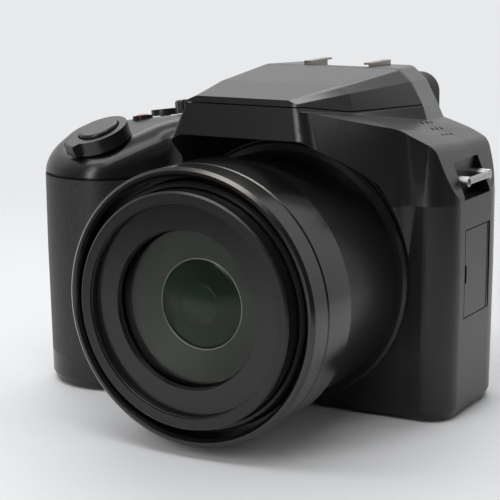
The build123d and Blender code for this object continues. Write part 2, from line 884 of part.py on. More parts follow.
# Base plate with the tripod socket, chassis and boards
base = outer & base_zone
base -= rod((lens_x, tripod_y, -overrun), (0, 0, 1), tripod_r, 2 * overrun)
screws = None
for x in (base_left_x + base_screw_inset, base_right_x - base_screw_inset):
    for y in (base_front_y + base_screw_inset, chassis_front_y - base_screw_inset):
        base -= rod((x, y, -overrun), (0, 0, 1), base_screw_r, overrun + base_thick / 2)
        base -= rod((x, y, -overrun), (0, 0, 1), base_screw_shank_r, overrun + base_thick)
        screw = rod((x, y, fit_gap), (0, 0, 1), base_screw_r, base_thick / 2 - fit_gap)
        screw += rod((x, y, fit_gap), (0, 0, 1), base_screw_shank_r, chassis_low_z + chassis_thick)
        slot_half = door_pin_r / 2
        screw -= span_box(x - base_screw_r, x + base_screw_r, y - slot_half, y + slot_half, 0, door_pin_r)
        screws = screw if screws is None else screws + screw
add("base_plate", base)
add("base_screws", screws)
bush = rod((lens_x, tripod_y, 0), (0, 0, 1), tripod_r, chassis_low_z)
bush += rod((lens_x, tripod_y, chassis_low_z), (0, 0, 1), tripod_r - crisp_r, tripod_height - chassis_low_z)
bush -= rod((lens_x, tripod_y, 0), (0, 0, 1), tripod_bore_r, tripod_bore_depth)
add("tripod_socket", bush)
chassis_high = chassis_low_z + chassis_thick
foot = span_box(chassis_left_x, chassis_right_x, chassis_foot_y, chassis_front_y + chassis_thick,
                chassis_low_z, chassis_high)
plate = span_box(chassis_left_x, chassis_right_x, chassis_front_y, chassis_front_y + chassis_thick,
                 chassis_low_z, chassis_high_z)
chassis = foot + plate
chassis -= rod((lens_x, tripod_y, 0), (0, 0, 1), tripod_r - crisp_r, chassis_high)
for x in (base_left_x + base_screw_inset, base_right_x - base_screw_inset):
    for y in (base_front_y + base_screw_inset, chassis_front_y - base_screw_inset):
        chassis -= rod((x, y, 0), (0, 0, 1), base_screw_shank_r, chassis_high)
plate_back = chassis_front_y + chassis_thick
for x in (board_left_x + overrun, board_right_x - overrun):
    for z in (board_low_z + overrun, board_high_z - overrun):
        chassis += rod((x, plate_back, z), (0, 1, 0), standoff_r, board_front_y - plate_back)
add("chassis", chassis)
add("main_board", span_box(
    board_left_x, board_right_x, board_front_y, board_front_y + board_thick, board_low_z, board_high_z,
))

# Terminal door and sockets
terminal_door = span_box(
    side_x - terminal_thick, side_x, terminal_front_y, terminal_relief_y, terminal_low_z, terminal_high_z,
)
knuckle_x = side_x - terminal_thick / 2 - running_gap
terminal_door += span_box(
    side_x - terminal_thick, knuckle_x, terminal_front_y, terminal_axis_y, terminal_low_z, terminal_high_z,
)
terminal_height = terminal_high_z - terminal_low_z
knuckle_start = (knuckle_x, terminal_axis_y, terminal_low_z)
terminal_door += rod(knuckle_start, (0, 0, 1), terminal_knuckle_r - running_gap, terminal_height)
terminal_door = terminal_door - span_box(
    side_x - crisp_r, side_x + overrun, terminal_front_y, terminal_front_y + 2 * crisp_r,
    (terminal_low_z + terminal_high_z - overrun) / 2, (terminal_low_z + terminal_high_z + overrun) / 2,
)
add("terminal_door", terminal_door & outer)
sockets = span_box(
    side_x - 2 * overrun, side_x - wall - fit_gap, terminal_front_y - wall,
    terminal_axis_y + wall, terminal_low_z - wall, terminal_high_z + wall,
)
for index, height in enumerate(socket_heights):
    socket_z = terminal_low_z + socket_first_rise + index * socket_pitch
    sockets -= span_box(
        side_x - wall - socket_depth, side_x, terminal_front_y + overrun,
        terminal_front_y + overrun + 2 * height, socket_z - crisp_r, socket_z + height / 2,
    )
add("terminal_sockets", sockets)

# Rear cover with the monitor window, the viewfinder opening, the thumb wheel slot and the buttons
rear = rear_shell - base_zone
rear -= lid_space(fit_gap)
thumb_zone = span_box(
    thumb_left_x, thumb_right_x, thumb_front_y, back_y + overrun, thumb_low_z, thumb_high_z,
)
add("thumb_rubber", rubber_layer & thumb_zone)
rear -= rubber_layer & thumb_zone
step_y = back_y - monitor_glass_thick + running_gap
rear -= span_box(
    monitor_left_x - running_gap, monitor_right_x + running_gap, step_y - running_gap, back_y + overrun,
    monitor_low_z - running_gap, monitor_high_z + running_gap,
)
rear -= span_box(
    monitor_left_x + monitor_lip, monitor_right_x - monitor_lip, back_y - 2 * wall, back_y,
    monitor_low_z + monitor_lip, monitor_high_z - monitor_lip,
)
glass_front_y = step_y - running_gap
add("monitor_glass", span_box(
    monitor_left_x, monitor_right_x, glass_front_y, glass_front_y + monitor_glass_thick,
    monitor_low_z, monitor_high_z,
))
panel_inset = monitor_lip + running_gap
add("monitor_panel", span_box(
    monitor_left_x + panel_inset, monitor_right_x - panel_inset,
    glass_front_y - monitor_panel_thick, glass_front_y - 2 * running_gap,
    monitor_low_z + panel_inset, monitor_high_z - panel_inset,
))
rear -= span_box(
    lens_x - tube_half, lens_x + tube_half, rear_seam_y, back_y + overrun,
    eyepiece_z - tube_half_height, eyepiece_z + tube_half_height,
)


def rounded_frame(y, half, half_height, radius):
    """A rounded rectangle about the eyepiece axis, facing backwards."""
    plane = Plane(origin=(lens_x, y, eyepiece_z), x_dir=(1, 0, 0), z_dir=(0, 1, 0))
    return plane * RectangleRounded(2 * half, 2 * half_height, radius)


housing = loft([
    rounded_frame(back_y - wall, housing_half, housing_half_height, housing_r),
    rounded_frame(housing_back_y, housing_back_half, housing_back_half_height, housing_r),
], ruled=True)
housing -= outer
housing = housing.solids().sort_by(Axis.Y)[-1]
housing = housing - span_box(
    lens_x - tube_half, lens_x + tube_half, rear_seam_y, housing_back_y,
    eyepiece_z - tube_half_height, eyepiece_z + tube_half_height,
)
tube_shape = span_box(
    lens_x - tube_half, lens_x + tube_half, tube_front_y, tube_back_y,
    eyepiece_z - tube_half_height, eyepiece_z + tube_half_height,
)
tube_shape -= span_box(
    lens_x - tube_half + tube_wall, lens_x + tube_half - tube_wall, tube_front_y + wall, housing_back_y,
    eyepiece_z - tube_half_height + tube_wall, eyepiece_z + tube_half_height - tube_wall,
)
housing += tube_shape
add("eyepiece_lens", span_box(
    lens_x - tube_half, lens_x + tube_half, tube_back_y, housing_back_y,
    eyepiece_z - tube_half_height, eyepiece_z + tube_half_height,
) + rod((lens_x, housing_back_y, eyepiece_z), (0, 1, 0), tube_half_height - crisp_r, wall / 2))
eyecup = extrude(rounded_frame(eyecup_front_y, eyecup_half, eyecup_half_height, eyecup_r),
                 half_depth - eyecup_front_y)
eyecup -= extrude(
    rounded_frame(eyecup_front_y, eyecup_half - eyecup_wall, eyecup_half_height - eyecup_wall, housing_r),
    housing_back_y - eyecup_front_y,
)
eyecup -= extrude(rounded_frame(eyecup_front_y, eyecup_hole_half, eyecup_hole_half_height, housing_r),
                  half_depth - eyecup_front_y)
eyecup = fillet(eyecup.faces().sort_by(Axis.Y)[-1].outer_wire().edges(), wall)
add("eyecup", eyecup)

# Diopter dial on the right of the viewfinder
diopter_x = lens_x + housing_back_half + fit_gap + crisp_r
diopter_axle_x = lens_x + tube_half + crisp_r
diopter = rod((diopter_x, diopter_y, eyepiece_z), (1, 0, 0), diopter_r, diopter_thick)
axle_length = diopter_x - diopter_axle_x
diopter += rod((diopter_axle_x, diopter_y, eyepiece_z), (1, 0, 0), diopter_axle_r, axle_length)
notch_count = dial_notches // 2
for index in range(notch_count):
    angle = 2 * math.pi * index / notch_count
    notch_y = diopter_y + diopter_r * math.cos(angle)
    notch_z = eyepiece_z + diopter_r * math.sin(angle)
    diopter -= rod((diopter_x, notch_y, notch_z), (1, 0, 0), diopter_notch_r, diopter_thick)
add("diopter_dial", diopter)
housing -= rod((diopter_axle_x - running_gap, diopter_y, eyepiece_z), (1, 0, 0),
               diopter_axle_r + running_gap, overrun * 2)
housing -= span_box(
    diopter_x - fit_gap, diopter_x + 2 * overrun,
    diopter_y - diopter_r - fit_gap, diopter_y + diopter_r + fit_gap,
    eyepiece_z - diopter_r - fit_gap, eyepiece_z + diopter_r + fit_gap,
)
add("viewfinder_housing", housing)

# Buttons of the back: each one a cap with a collar behind the cover
button_front_y = back_y - wall - collar_gap - flange_thick
buttons = (
    ("playback_button", playback_x, playback_z, playback_r),
    ("display_button", display_x, display_z, small_r),
    ("delete_button", delete_x, delete_z, small_r),
    ("lock_button", lock_x, lock_z, small_r),
    ("finder_button", finder_x, finder_z, small_r),
)
for name, x, z, radius in buttons:
    button = back_disc(x, z, radius, button_front_y, back_y + button_rise)
    button += back_disc(x, z, radius + flange_extra_r, button_front_y, button_front_y + flange_thick)
    add(name, button)
    rear -= back_disc(x, z, radius + fit_gap, rear_seam_y, back_y + overrun)
pad = back_disc(pad_x, pad_z, pad_r, button_front_y, back_y + button_rise)
pad += back_disc(pad_x, pad_z, pad_r + flange_extra_r, button_front_y, button_front_y + flange_thick)
pad -= back_disc(pad_x, pad_z, set_r + fit_gap, button_front_y, back_y + overrun)
pad -= back_disc(pad_x, pad_z, set_r + flange_extra_r + fit_gap, button_front_y, back_y - wall / 2)
add("four_way_pad", pad)
set_button = back_disc(pad_x, pad_z, set_r, button_front_y, back_y + button_rise / 2)
set_button += back_disc(pad_x, pad_z, set_r + crisp_r, button_front_y, button_front_y + flange_thick)
add("set_button", set_button)
rear -= back_disc(pad_x, pad_z, pad_r + fit_gap, rear_seam_y, back_y + overrun)

# Thumb wheel on an upright pin
wheel_low = wheel_z - wheel_thick / 2
wheel = rod((wheel_x, wheel_y, wheel_low), (0, 0, 1), wheel_r, wheel_thick)
for index in range(dial_notches):
    angle = 2 * math.pi * index / dial_notches
    notch_x = wheel_x + wheel_r * math.cos(angle)
    notch_y = wheel_y + wheel_r * math.sin(angle)
    wheel -= rod((notch_x, notch_y, wheel_low), (0, 0, 1), dial_notch_r, wheel_thick)
wheel -= rod((wheel_x, wheel_y, wheel_low), (0, 0, 1), wheel_pin_r + running_gap, wheel_thick)
add("thumb_wheel", wheel)
slot_half = math.sqrt(wheel_r ** 2 - (back_y - wall - wheel_y) ** 2) + fit_gap
rear -= span_box(
    wheel_x - slot_half, wheel_x + slot_half, back_y - 2 * wall, back_y + overrun,
    wheel_low - fit_gap, wheel_low + wheel_thick + fit_gap,
)
for z in (wheel_low - fit_gap - wheel_shelf_thick, wheel_low + wheel_thick + fit_gap):
    shelf = span_box(
        wheel_x - wheel_shelf_half, wheel_x + wheel_shelf_half,
        wheel_y - wheel_shelf_half, back_y - wall + crisp_r, z, z + wheel_shelf_thick,
    )
    rear += shelf
rear += rod((wheel_x, wheel_y, wheel_low - fit_gap), (0, 0, 1), wheel_pin_r, wheel_thick + 2 * fit_gap)
add("rear_cover", rear)

# Controls on the grip and the plate
shutter = disc(shutter_plane, shutter_r, shutter_low, shutter_high)
shutter = fillet(shutter.faces().sort_by(Axis.Z)[-1].edges(), shutter_edge_r)
shutter += disc(shutter_plane, stem_r, -stem_depth, shutter_low)
add("shutter_button", shutter)
lever = disc(shutter_plane, lever_r, lever_low, lever_high)
tab_turn = Location((0, 0, 0), (0, 0, lever_tab_angle))
tab_profile = tab_turn * (Pos((lever_r + lever_tab_reach) / 2 - crisp_r, 0) * Rectangle(
    lever_tab_reach - lever_r + 2 * crisp_r, 2 * lever_tab_half))
lever += extrude(shutter_plane.offset(lever_low + crisp_r) * tab_profile, lever_high - lever_low - crisp_r)
for rib in range(lever_rib_count):
    rib_angle = lever_tab_angle + (rib - (lever_rib_count - 1) / 2) * lever_rib_pitch
    rib_profile = Location((0, 0, 0), (0, 0, rib_angle)) * (
        Pos(lever_tab_reach, 0) * Rectangle(2 * lever_rib_width, lever_rib_width))
    lever -= extrude(shutter_plane.offset(lever_low) * rib_profile, lever_high)
lever -= disc(shutter_plane, lever_bore_r, 0, lever_high)
add("zoom_lever", lever)
dial = disc(dial_plane, dial_r, fit_gap, dial_height)
dial = chamfer(dial.faces().sort_by(Axis.Z)[-1].edges(), crisp_r)
for index in range(dial_notches):
    angle = 2 * math.pi * index / dial_notches
    notch = Pos(dial_r * math.cos(angle), dial_r * math.sin(angle)) * Circle(dial_notch_r)
    dial -= extrude(dial_plane.offset(fit_gap) * notch, dial_height)
dial += disc(dial_plane, stem_r, -stem_depth, fit_gap)
add("mode_dial", dial)
power = disc(power_plane, power_r, fit_gap, power_height)
power_tab = Location((0, 0, 0), (0, 0, power_tab_angle)) * (Pos(power_tab_reach / 2, 0) * Rectangle(
    power_tab_reach, 2 * power_tab_half))
power += extrude(power_plane.offset(fit_gap) * power_tab, power_height - fit_gap)
power += disc(power_plane, stem_r, -stem_depth, fit_gap)
add("power_lever", power)
for name, plane, radius in (("movie_button", movie_plane, movie_r), ("drive_button", drive_plane, drive_r)):
    button = disc(plane, radius, -wall - fit_gap - flange_thick, button_rise)
    collar_high = -wall - 2 * fit_gap
    button += disc(plane, radius + flange_extra_r, collar_high - flange_thick, collar_high)
    add(name, button)

# Hot shoe with its contacts
shoe_left = lens_x - shoe_half
shoe_right = lens_x + shoe_half
shoe_top = overall_height
shoe = span_box(shoe_left, shoe_right, shoe_front_y, shoe_back_y, shoe_floor_z, shoe_floor_z + shoe_sheet)
for side in (-1, 1):
    wall_x = lens_x + side * shoe_half
    web_x = wall_x - side * shoe_sheet
    lip_x = wall_x - side * shoe_lip
    shoe += span_box(
        min(wall_x, web_x), max(wall_x, web_x),
        shoe_front_y, shoe_back_y, shoe_floor_z, shoe_top,
    )
    shoe += span_box(
        min(wall_x, lip_x), max(wall_x, lip_x),
        shoe_front_y, shoe_back_y, shoe_top - shoe_rail_thick, shoe_top,
    )
add("hot_shoe", shoe)
shoe_mid_y = (shoe_front_y + shoe_back_y) / 2
contact_z = shoe_floor_z + shoe_sheet
contacts = span_box(lens_x - overrun, lens_x + overrun, shoe_mid_y - 2 * wall, shoe_mid_y + 2 * wall,
                    contact_z, contact_z + contact_height / 2)
for across, along in ((0, 0), (-1, 1), (1, 1), (-1, -1), (1, -1)):
    spot = (lens_x + across * contact_x, shoe_mid_y + along * contact_y, contact_z)
    contacts += rod(spot, (0, 0, 1), contact_r, contact_height)
add("shoe_contacts", contacts)

# Lens: fixed barrel with its back plate, front ring and flange ring
fixed = turned([
    (fixed_bore_r, fixed_front_y),
    (fixed_front_r - running_gap, fixed_front_y),
    (fixed_front_r - running_gap, fixed_step_y),
    (fixed_r, fixed_step_y),
    (fixed_r, face_y + wall),
    (fixed_flange_r, face_y + wall),
    (fixed_flange_r, face_y + 2 * wall),
    (fixed_r, face_y + 2 * wall),
    (fixed_r, fixed_back_y + fixed_plate),
    (fixed_window_r, fixed_back_y + fixed_plate),
    (fixed_window_r, fixed_back_y),
    (fixed_bore_r, fixed_back_y),
])
ear = span_box(
    motor_x - motor_r, lens_x - fixed_window_r - overrun, fixed_back_y, fixed_back_y + fixed_plate,
    motor_z - motor_r, motor_z + motor_r,
)
fixed += ear
fixed -= span_box(
    lens_x - fixed_r, lens_x + fixed_r, face_y + wall - running_gap, face_y + 2 * wall + running_gap,
    0, lens_z - fixed_r + fit_gap,
)
for angle in (0, 180):
    rod_x = lens_x + rod_orbit * math.cos(math.radians(angle))
    fixed -= rod((rod_x, fixed_back_y, lens_z), (0, 1, 0), rod_r, fixed_plate)
add("fixed_barrel", fixed)
ring_points = [
    (front_ring_bore_r, front_ring_front_y + front_ring_chamfer),
    (front_ring_bore_r + front_ring_chamfer, front_ring_front_y),
    (front_ring_r - front_ring_chamfer, front_ring_front_y),
    (front_ring_r, front_ring_front_y + front_ring_chamfer),
    (front_ring_r, front_ring_groove_y),
    (front_ring_r - front_ring_groove_depth, front_ring_groove_y + front_ring_groove_width / 2),
    (front_ring_r, front_ring_groove_y + front_ring_groove_width),
    (front_ring_r, front_ring_back_y - front_ring_chamfer),
    (front_ring_r - front_ring_chamfer, front_ring_back_y),
    (fixed_r, front_ring_back_y),
    (fixed_r, fixed_step_y),
    (front_ring_bore_r, fixed_step_y),
]
add("front_ring", turned(ring_points))
add("flange_ring", turned([
    (fixed_r, face_y),
    (fixed_r, flange_ring_front_y),
    (flange_ring_r - front_ring_chamfer, flange_ring_front_y),
    (flange_ring_r, flange_ring_front_y + front_ring_chamfer),
    (flange_ring_r, face_y),
]))

# Lens: the two sliding barrels and what they carry
add("zoom_barrel_outer", turned([
    (barrel_1_bore_r, barrel_1_front_y),
    (barrel_1_r - crisp_r, barrel_1_front_y),
    (barrel_1_r, barrel_1_front_y + crisp_r),
    (barrel_1_r, barrel_1_back_y),
    (barrel_1_bore_r, barrel_1_back_y),
]))
floor_y = -half_depth + filter_depth + name_ring_thick
add("zoom_barrel_inner", turned([
    (filter_r, -half_depth),
    (barrel_2_r - crisp_r, -half_depth),
    (barrel_2_r, -half_depth + crisp_r),
    (barrel_2_r, barrel_2_back_y),
    (barrel_2_bore_r, barrel_2_back_y),
    (barrel_2_bore_r, floor_y + barrel_2_floor),
    (cell_r, floor_y + barrel_2_floor),
    (cell_r, cell_back_y),
    (cell_lip_r, cell_back_y),
    (cell_lip_r, cell_lip_front_y),
    (cell_bore_r, cell_lip_front_y),
    (cell_bore_r, floor_y),
    (name_ring_r, floor_y),
    (name_ring_r, floor_y - name_ring_thick),
    (filter_r, floor_y - name_ring_thick),
]))
add("name_ring", turned([
    (name_ring_bore_r, floor_y),
    (name_ring_bore_r + crisp_r, floor_y - name_ring_thick),
    (name_ring_r, floor_y - name_ring_thick),
    (name_ring_r, floor_y),
]))


def lens_element(rim_r, front_y, vertex_y, rear_y):
    """A plano-convex glass element: its front bulges from the rim to the vertex."""
    middle_r = rim_r * math.sqrt(0.5)
    sag = (rim_r ** 2 - middle_r ** 2) / rim_r ** 2
    middle_y = front_y + (vertex_y - front_y) * sag
    plane = Plane(origin=(lens_x, 0, lens_z), x_dir=(1, 0, 0), z_dir=(0, 0, 1))
    bulge = ThreePointArc((0, vertex_y), (middle_r, middle_y), (rim_r, front_y))
    sides = Polyline((rim_r, front_y), (rim_r, rear_y), (0, rear_y), (0, vertex_y))
    profile = plane * make_face(Curve() + [bulge, sides])
    return revolve(profile, Axis((lens_x, 0, lens_z), (0, 1, 0)))


add("front_element", lens_element(element_r, element_rim_y, element_vertex_y, cell_lip_front_y))
add("lens_baffle", turned([
    (baffle_r, cell_back_y),
    (baffle_r, cell_back_y + crisp_r),
    (baffle_hole_r + crisp_r, baffle_back_y),
    (baffle_hole_r, baffle_back_y - crisp_r),
    (cell_lip_r, cell_back_y),
]))
add("drive_ring", turned([
    (drive_ring_bore_r, drive_ring_front_y),
    (drive_ring_r, drive_ring_front_y),
    (drive_ring_r, drive_ring_back_y),
    (drive_ring_bore_r, drive_ring_back_y),
]))
rods = None
for angle in (0, 180):
    rod_x = lens_x + rod_orbit * math.cos(math.radians(angle))
    guide = rod((rod_x, rod_front_y, lens_z), (0, 1, 0), rod_r, fixed_back_y + fixed_plate - rod_front_y)
    rods = guide if rods is None else rods + guide
add("guide_rods", rods)


def carrier(front_y, thick, glass_r):
    """A carrier that slides on the guide rods, with a hole for its glass."""
    ring = turned([
        (glass_r, front_y),
        (variator_r, front_y),
        (variator_r, front_y + thick),
        (glass_r, front_y + thick),
    ])
    for angle in (0, 180):
        rod_x = lens_x + rod_orbit * math.cos(math.radians(angle))
        ring -= rod((rod_x, front_y, lens_z), (0, 1, 0), rod_hole_r, thick)
    return ring


variator_back_y = variator_front_y + variator_thick
variator_glass = lens_element(
    variator_lens_r, variator_front_y, variator_front_y - group_bulge, variator_back_y
)
add("variator_group", carrier(variator_front_y, variator_thick, variator_lens_r) + variator_glass)
add("iris_unit", carrier(iris_front_y, iris_thick, iris_hole_r))
focus_glass = lens_element(
    focus_lens_r, focus_front_y, focus_front_y - group_bulge, focus_front_y + focus_thick
)
add("focus_group", carrier(focus_front_y, focus_thick, focus_lens_r) + focus_glass)
sensor = span_box(
    lens_x - sensor_width / 2, lens_x + sensor_width / 2, sensor_front_y, fixed_back_y + fixed_plate,
    lens_z - sensor_height / 2, lens_z + sensor_height / 2,
)
sensor += span_box(
    lens_x - sensor_width - wall, lens_x + sensor_width + wall,
    fixed_back_y + fixed_plate, sensor_plate_back_y,
    lens_z - sensor_height - wall, lens_z + sensor_height + wall,
)
add("image_sensor", sensor)
motor = rod((motor_x, motor_front_y, motor_z), (0, 1, 0), motor_r, fixed_back_y - motor_front_y)
add("zoom_motor", motor)

os.makedirs("parts", exist_ok=True)
for name, shape in parts.items():
    export_step(shape, f"parts/{name}.step")
    print(name, len(shape.solids()), round(shape.volume, 2), shape.bounding_box())
print(len(parts), "parts")
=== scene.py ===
# %% [markdown]
# # A bridge camera with a telescoping zoom
# The camera is a moulded black body with a deep hand grip, a hump for the viewfinder and a wide
# zoom lens. Its solids come from a CAD model, where every cover, ring and button already has its
# true size. This lesson gives them their finishes, adds the small things that a modeller makes in
# Blender, and sets up the floor, the light and the camera.
#
# The frame is loaded first. It stays fixed: nothing below moves or reshapes a CAD solid.

# %% Load the fixed frame
import math

import bmesh
import bpy
from mathutils import Matrix, Vector


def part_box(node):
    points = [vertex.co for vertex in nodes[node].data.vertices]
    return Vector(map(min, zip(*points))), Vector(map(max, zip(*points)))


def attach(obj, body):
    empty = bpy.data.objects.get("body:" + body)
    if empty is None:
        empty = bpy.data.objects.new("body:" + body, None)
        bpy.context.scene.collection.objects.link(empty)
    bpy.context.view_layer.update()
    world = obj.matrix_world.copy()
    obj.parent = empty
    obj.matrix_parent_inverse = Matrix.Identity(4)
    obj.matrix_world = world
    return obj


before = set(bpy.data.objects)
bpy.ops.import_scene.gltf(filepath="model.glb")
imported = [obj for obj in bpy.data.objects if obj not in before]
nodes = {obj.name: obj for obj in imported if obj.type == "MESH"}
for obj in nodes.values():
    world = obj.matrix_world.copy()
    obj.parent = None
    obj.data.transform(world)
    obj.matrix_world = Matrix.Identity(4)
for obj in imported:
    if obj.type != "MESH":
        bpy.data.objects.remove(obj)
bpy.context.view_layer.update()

# %% [markdown]
# ## Numbers that the camera is drawn from
# The lens axis and the front of the lens are known from the CAD model. Here they are written
# once, in metres, and every later cell uses these names.

# %% Named sizes
MM = 0.001
LENS_X = 15.9 * MM
LENS_Z = 38.8 * MM
LENS_FRONT_Y = -59.6 * MM
TURN = 2 * math.pi
print("lens axis at", LENS_X, LENS_Z)

# %% [markdown]
# ## Finishes
# A camera is nearly all black, so what tells its parts apart is how rough each one is and how its
# surface breaks up the light: fine spark texture on the shell, leather grain on the grip, a smooth
# sheen on the barrels. A painted picture could carry that, but it would need a layout on every
# face. Noise made by nodes sits in object space, so it fits any solid and any size. Each finish
# mixes two close colours by noise and pushes the surface in and out with a bump.

# %% A helper for finishes
NOISE_DETAIL = 3.0
RAMP_START = 0.3
RAMP_END = 0.7
BUMP_DEPTH = 0.1 * MM
FINISHES = {}


def finish(
    name, dark, light, rough, metal=0.0, scale=900.0, bump=0.04, speck="noise", stretch=None
):
    """A procedural finish: two colours mixed by a texture, with a bump of the same texture."""
    material = bpy.data.materials.new(name)
    material.use_nodes = True
    tree = material.node_tree
    shader = tree.nodes["Principled BSDF"]
    place = tree.nodes.new("ShaderNodeTexCoord")
    mapping = tree.nodes.new("ShaderNodeMapping")
    tree.links.new(place.outputs["Object"], mapping.inputs["Vector"])
    if stretch is not None:
        mapping.inputs["Scale"].default_value = stretch
    if speck == "cells":
        texture = tree.nodes.new("ShaderNodeTexVoronoi")
        value = texture.outputs["Distance"]
    else:
        texture = tree.nodes.new("ShaderNodeTexNoise")
        texture.inputs["Detail"].default_value = NOISE_DETAIL
        value = texture.outputs["Fac"]
    texture.inputs["Scale"].default_value = scale
    tree.links.new(mapping.outputs["Vector"], texture.inputs["Vector"])
    ramp = tree.nodes.new("ShaderNodeValToRGB")
    low, high = ramp.color_ramp.elements
    low.position, low.color = RAMP_START, (*dark, 1.0)
    high.position, high.color = RAMP_END, (*light, 1.0)
    tree.links.new(value, ramp.inputs["Fac"])
    tree.links.new(ramp.outputs["Color"], shader.inputs["Base Color"])
    shader.inputs["Roughness"].default_value = rough
    shader.inputs["Metallic"].default_value = metal
    if bump > 0.0:
        push = tree.nodes.new("ShaderNodeBump")
        push.inputs["Strength"].default_value = bump
        push.inputs["Distance"].default_value = BUMP_DEPTH
        tree.links.new(value, push.inputs["Height"])
        tree.links.new(push.outputs["Normal"], shader.inputs["Normal"])
    FINISHES[name] = material
    return material


def grey(level, tint=0.0):
    """A near-neutral dark colour, a little cooler as tint grows."""
    return (level * (1 - tint), level, level * (1 + tint))


print("a grey of level 0.01 is", grey(0.01))

# %% [markdown]
# ## The black plastics
# The shell is satin black with a very fine texture, and its slopes catch the room as a soft grey.
# The rubber of the grip is duller and has a leather grain, which cells give better than noise
# does. Buttons are smoother than the shell, and the dials a little lighter.

# %% Plastics and rubbers
shell_black = finish(
    "shell_black", grey(0.005, 0.06), grey(0.008, 0.06),
    rough=0.3, scale=2600.0, bump=0.03,
)
grip_leather = finish(
    "grip_leather", grey(0.012), grey(0.02),
    rough=0.5, scale=1100.0, bump=0.5, speck="cells",
)
soft_rubber = finish("soft_rubber", grey(0.012), grey(0.018), rough=0.6, scale=1500.0, bump=0.1)
button_black = finish("button_black", grey(0.008), grey(0.012), rough=0.3, scale=2000.0, bump=0.02)
dial_black = finish("dial_black", grey(0.009), grey(0.014), rough=0.34, scale=1800.0, bump=0.03)
inner_black = finish("inner_black", grey(0.006), grey(0.01), rough=0.55, scale=1200.0, bump=0.05)
print("plastics", len(FINISHES))

# %% [markdown]
# ### Colours that aren't black
# A few pieces have a colour of their own: the battery and the card, the circuit board, the white
# marks, and the red cap of the movie button. They go through the same helper as the blacks, so
# that none of them is a flat colour either.

# %% Coloured plastics and marks
battery_grey = finish("battery_grey", grey(0.05), grey(0.08), rough=0.45, scale=900.0, bump=0.03)
board_green = finish(
    "board_green", (0.01, 0.07, 0.03), (0.02, 0.12, 0.05),
    rough=0.4, scale=400.0, bump=0.1,
)
mark_white = finish(
    "mark_white", (0.72, 0.73, 0.74), (0.8, 0.81, 0.82),
    rough=0.45, scale=900.0, bump=0.0,
)
record_red = finish(
    "record_red", (0.42, 0.012, 0.012), (0.52, 0.02, 0.02),
    rough=0.3, scale=700.0, bump=0.02,
)
print("plastics and marks", len(FINISHES))

# %% [markdown]
# ## The metals
# The barrels are anodised aluminium: black, but a metal under its colour, so its highlights run
# as bright lines round each edge. The flat ring round the front glass is painted, so it is hardly
# metallic. The shoe is stamped steel with a drawn grain, which a noise stretched one way gives.

# %% Metals
barrel_black = finish(
    "barrel_black", (0.026, 0.025, 0.024), (0.034, 0.032, 0.031),
    rough=0.3, metal=0.6, scale=1500.0, bump=0.015,
)
ring_black = finish(
    "ring_black", (0.056, 0.053, 0.05), (0.066, 0.062, 0.059),
    rough=0.17, metal=0.9, scale=1500.0, bump=0.005,
)
name_ring_black = finish(
    "name_ring_black", grey(0.008, 0.06), grey(0.012, 0.06),
    rough=0.2, metal=0.1, scale=1800.0, bump=0.005,
)
shoe_steel = finish(
    "shoe_steel", (0.26, 0.235, 0.21), (0.36, 0.33, 0.3),
    rough=0.34, metal=1.0, scale=500.0, bump=0.05, stretch=(1.0, 14.0, 1.0),
)
bar_steel = finish(
    "bar_steel", grey(0.36), grey(0.44),
    rough=0.3, metal=1.0, scale=600.0, bump=0.01,
)
contact_gold = finish(
    "contact_gold", (0.62, 0.43, 0.16), (0.75, 0.55, 0.24),
    rough=0.25, metal=1.0, scale=800.0, bump=0.01,
)
frame_alloy = finish(
    "frame_alloy", grey(0.4), grey(0.5),
    rough=0.4, metal=1.0, scale=500.0, bump=0.04,
)
reflector_bright = finish(
    "reflector_bright", grey(0.75), grey(0.85),
    rough=0.12, metal=1.0, scale=400.0, bump=0.01,
)
print("finishes", len(FINISHES))

# %% [markdown]
# ## Clear glass
# The front element is one thick lens, and one looks through it at the rings behind. A real glass
# shader lets them show, where a painted disc would stay flat. A coated lens mirrors less than
# bare glass does, and a lower index of refraction gives that.


# %% Clear glasses
def glass(name, dark, light, rough, ior=1.5):
    """A clear or tinted glass; a coated one mirrors less, which a lower index gives."""
    material = finish(name, dark, light, rough, scale=60.0, bump=0.0)
    shader = material.node_tree.nodes["Principled BSDF"]
    shader.inputs["Transmission Weight"].default_value = 1.0
    shader.inputs["IOR"].default_value = ior
    return material


front_glass = glass("front_glass", (0.8, 0.86, 0.8), (0.86, 0.9, 0.86), rough=0.0, ior=1.18)
clear_glass = glass("clear_glass", (0.85, 0.87, 0.88), (0.9, 0.92, 0.93), rough=0.0)
flash_glass = glass("flash_glass", (0.8, 0.82, 0.84), (0.86, 0.88, 0.9), rough=0.12)
print("finishes with clear glass", len(FINISHES))

# %% [markdown]
# ## Dark glass
# The inner lenses have a green coating over a dark barrel, and the monitor's glass is printed
# black behind. Light that goes in there hardly comes back, so a smooth dark surface shows the
# same as clear glass over black would, with less grain in the picture. The coatings again get a
# lower index, because they mirror little.


# %% Dark glasses and the cone round the inner lens
def set_index(material, ior):
    """Set how strongly a smooth finish mirrors."""
    material.node_tree.nodes["Principled BSDF"].inputs["IOR"].default_value = ior


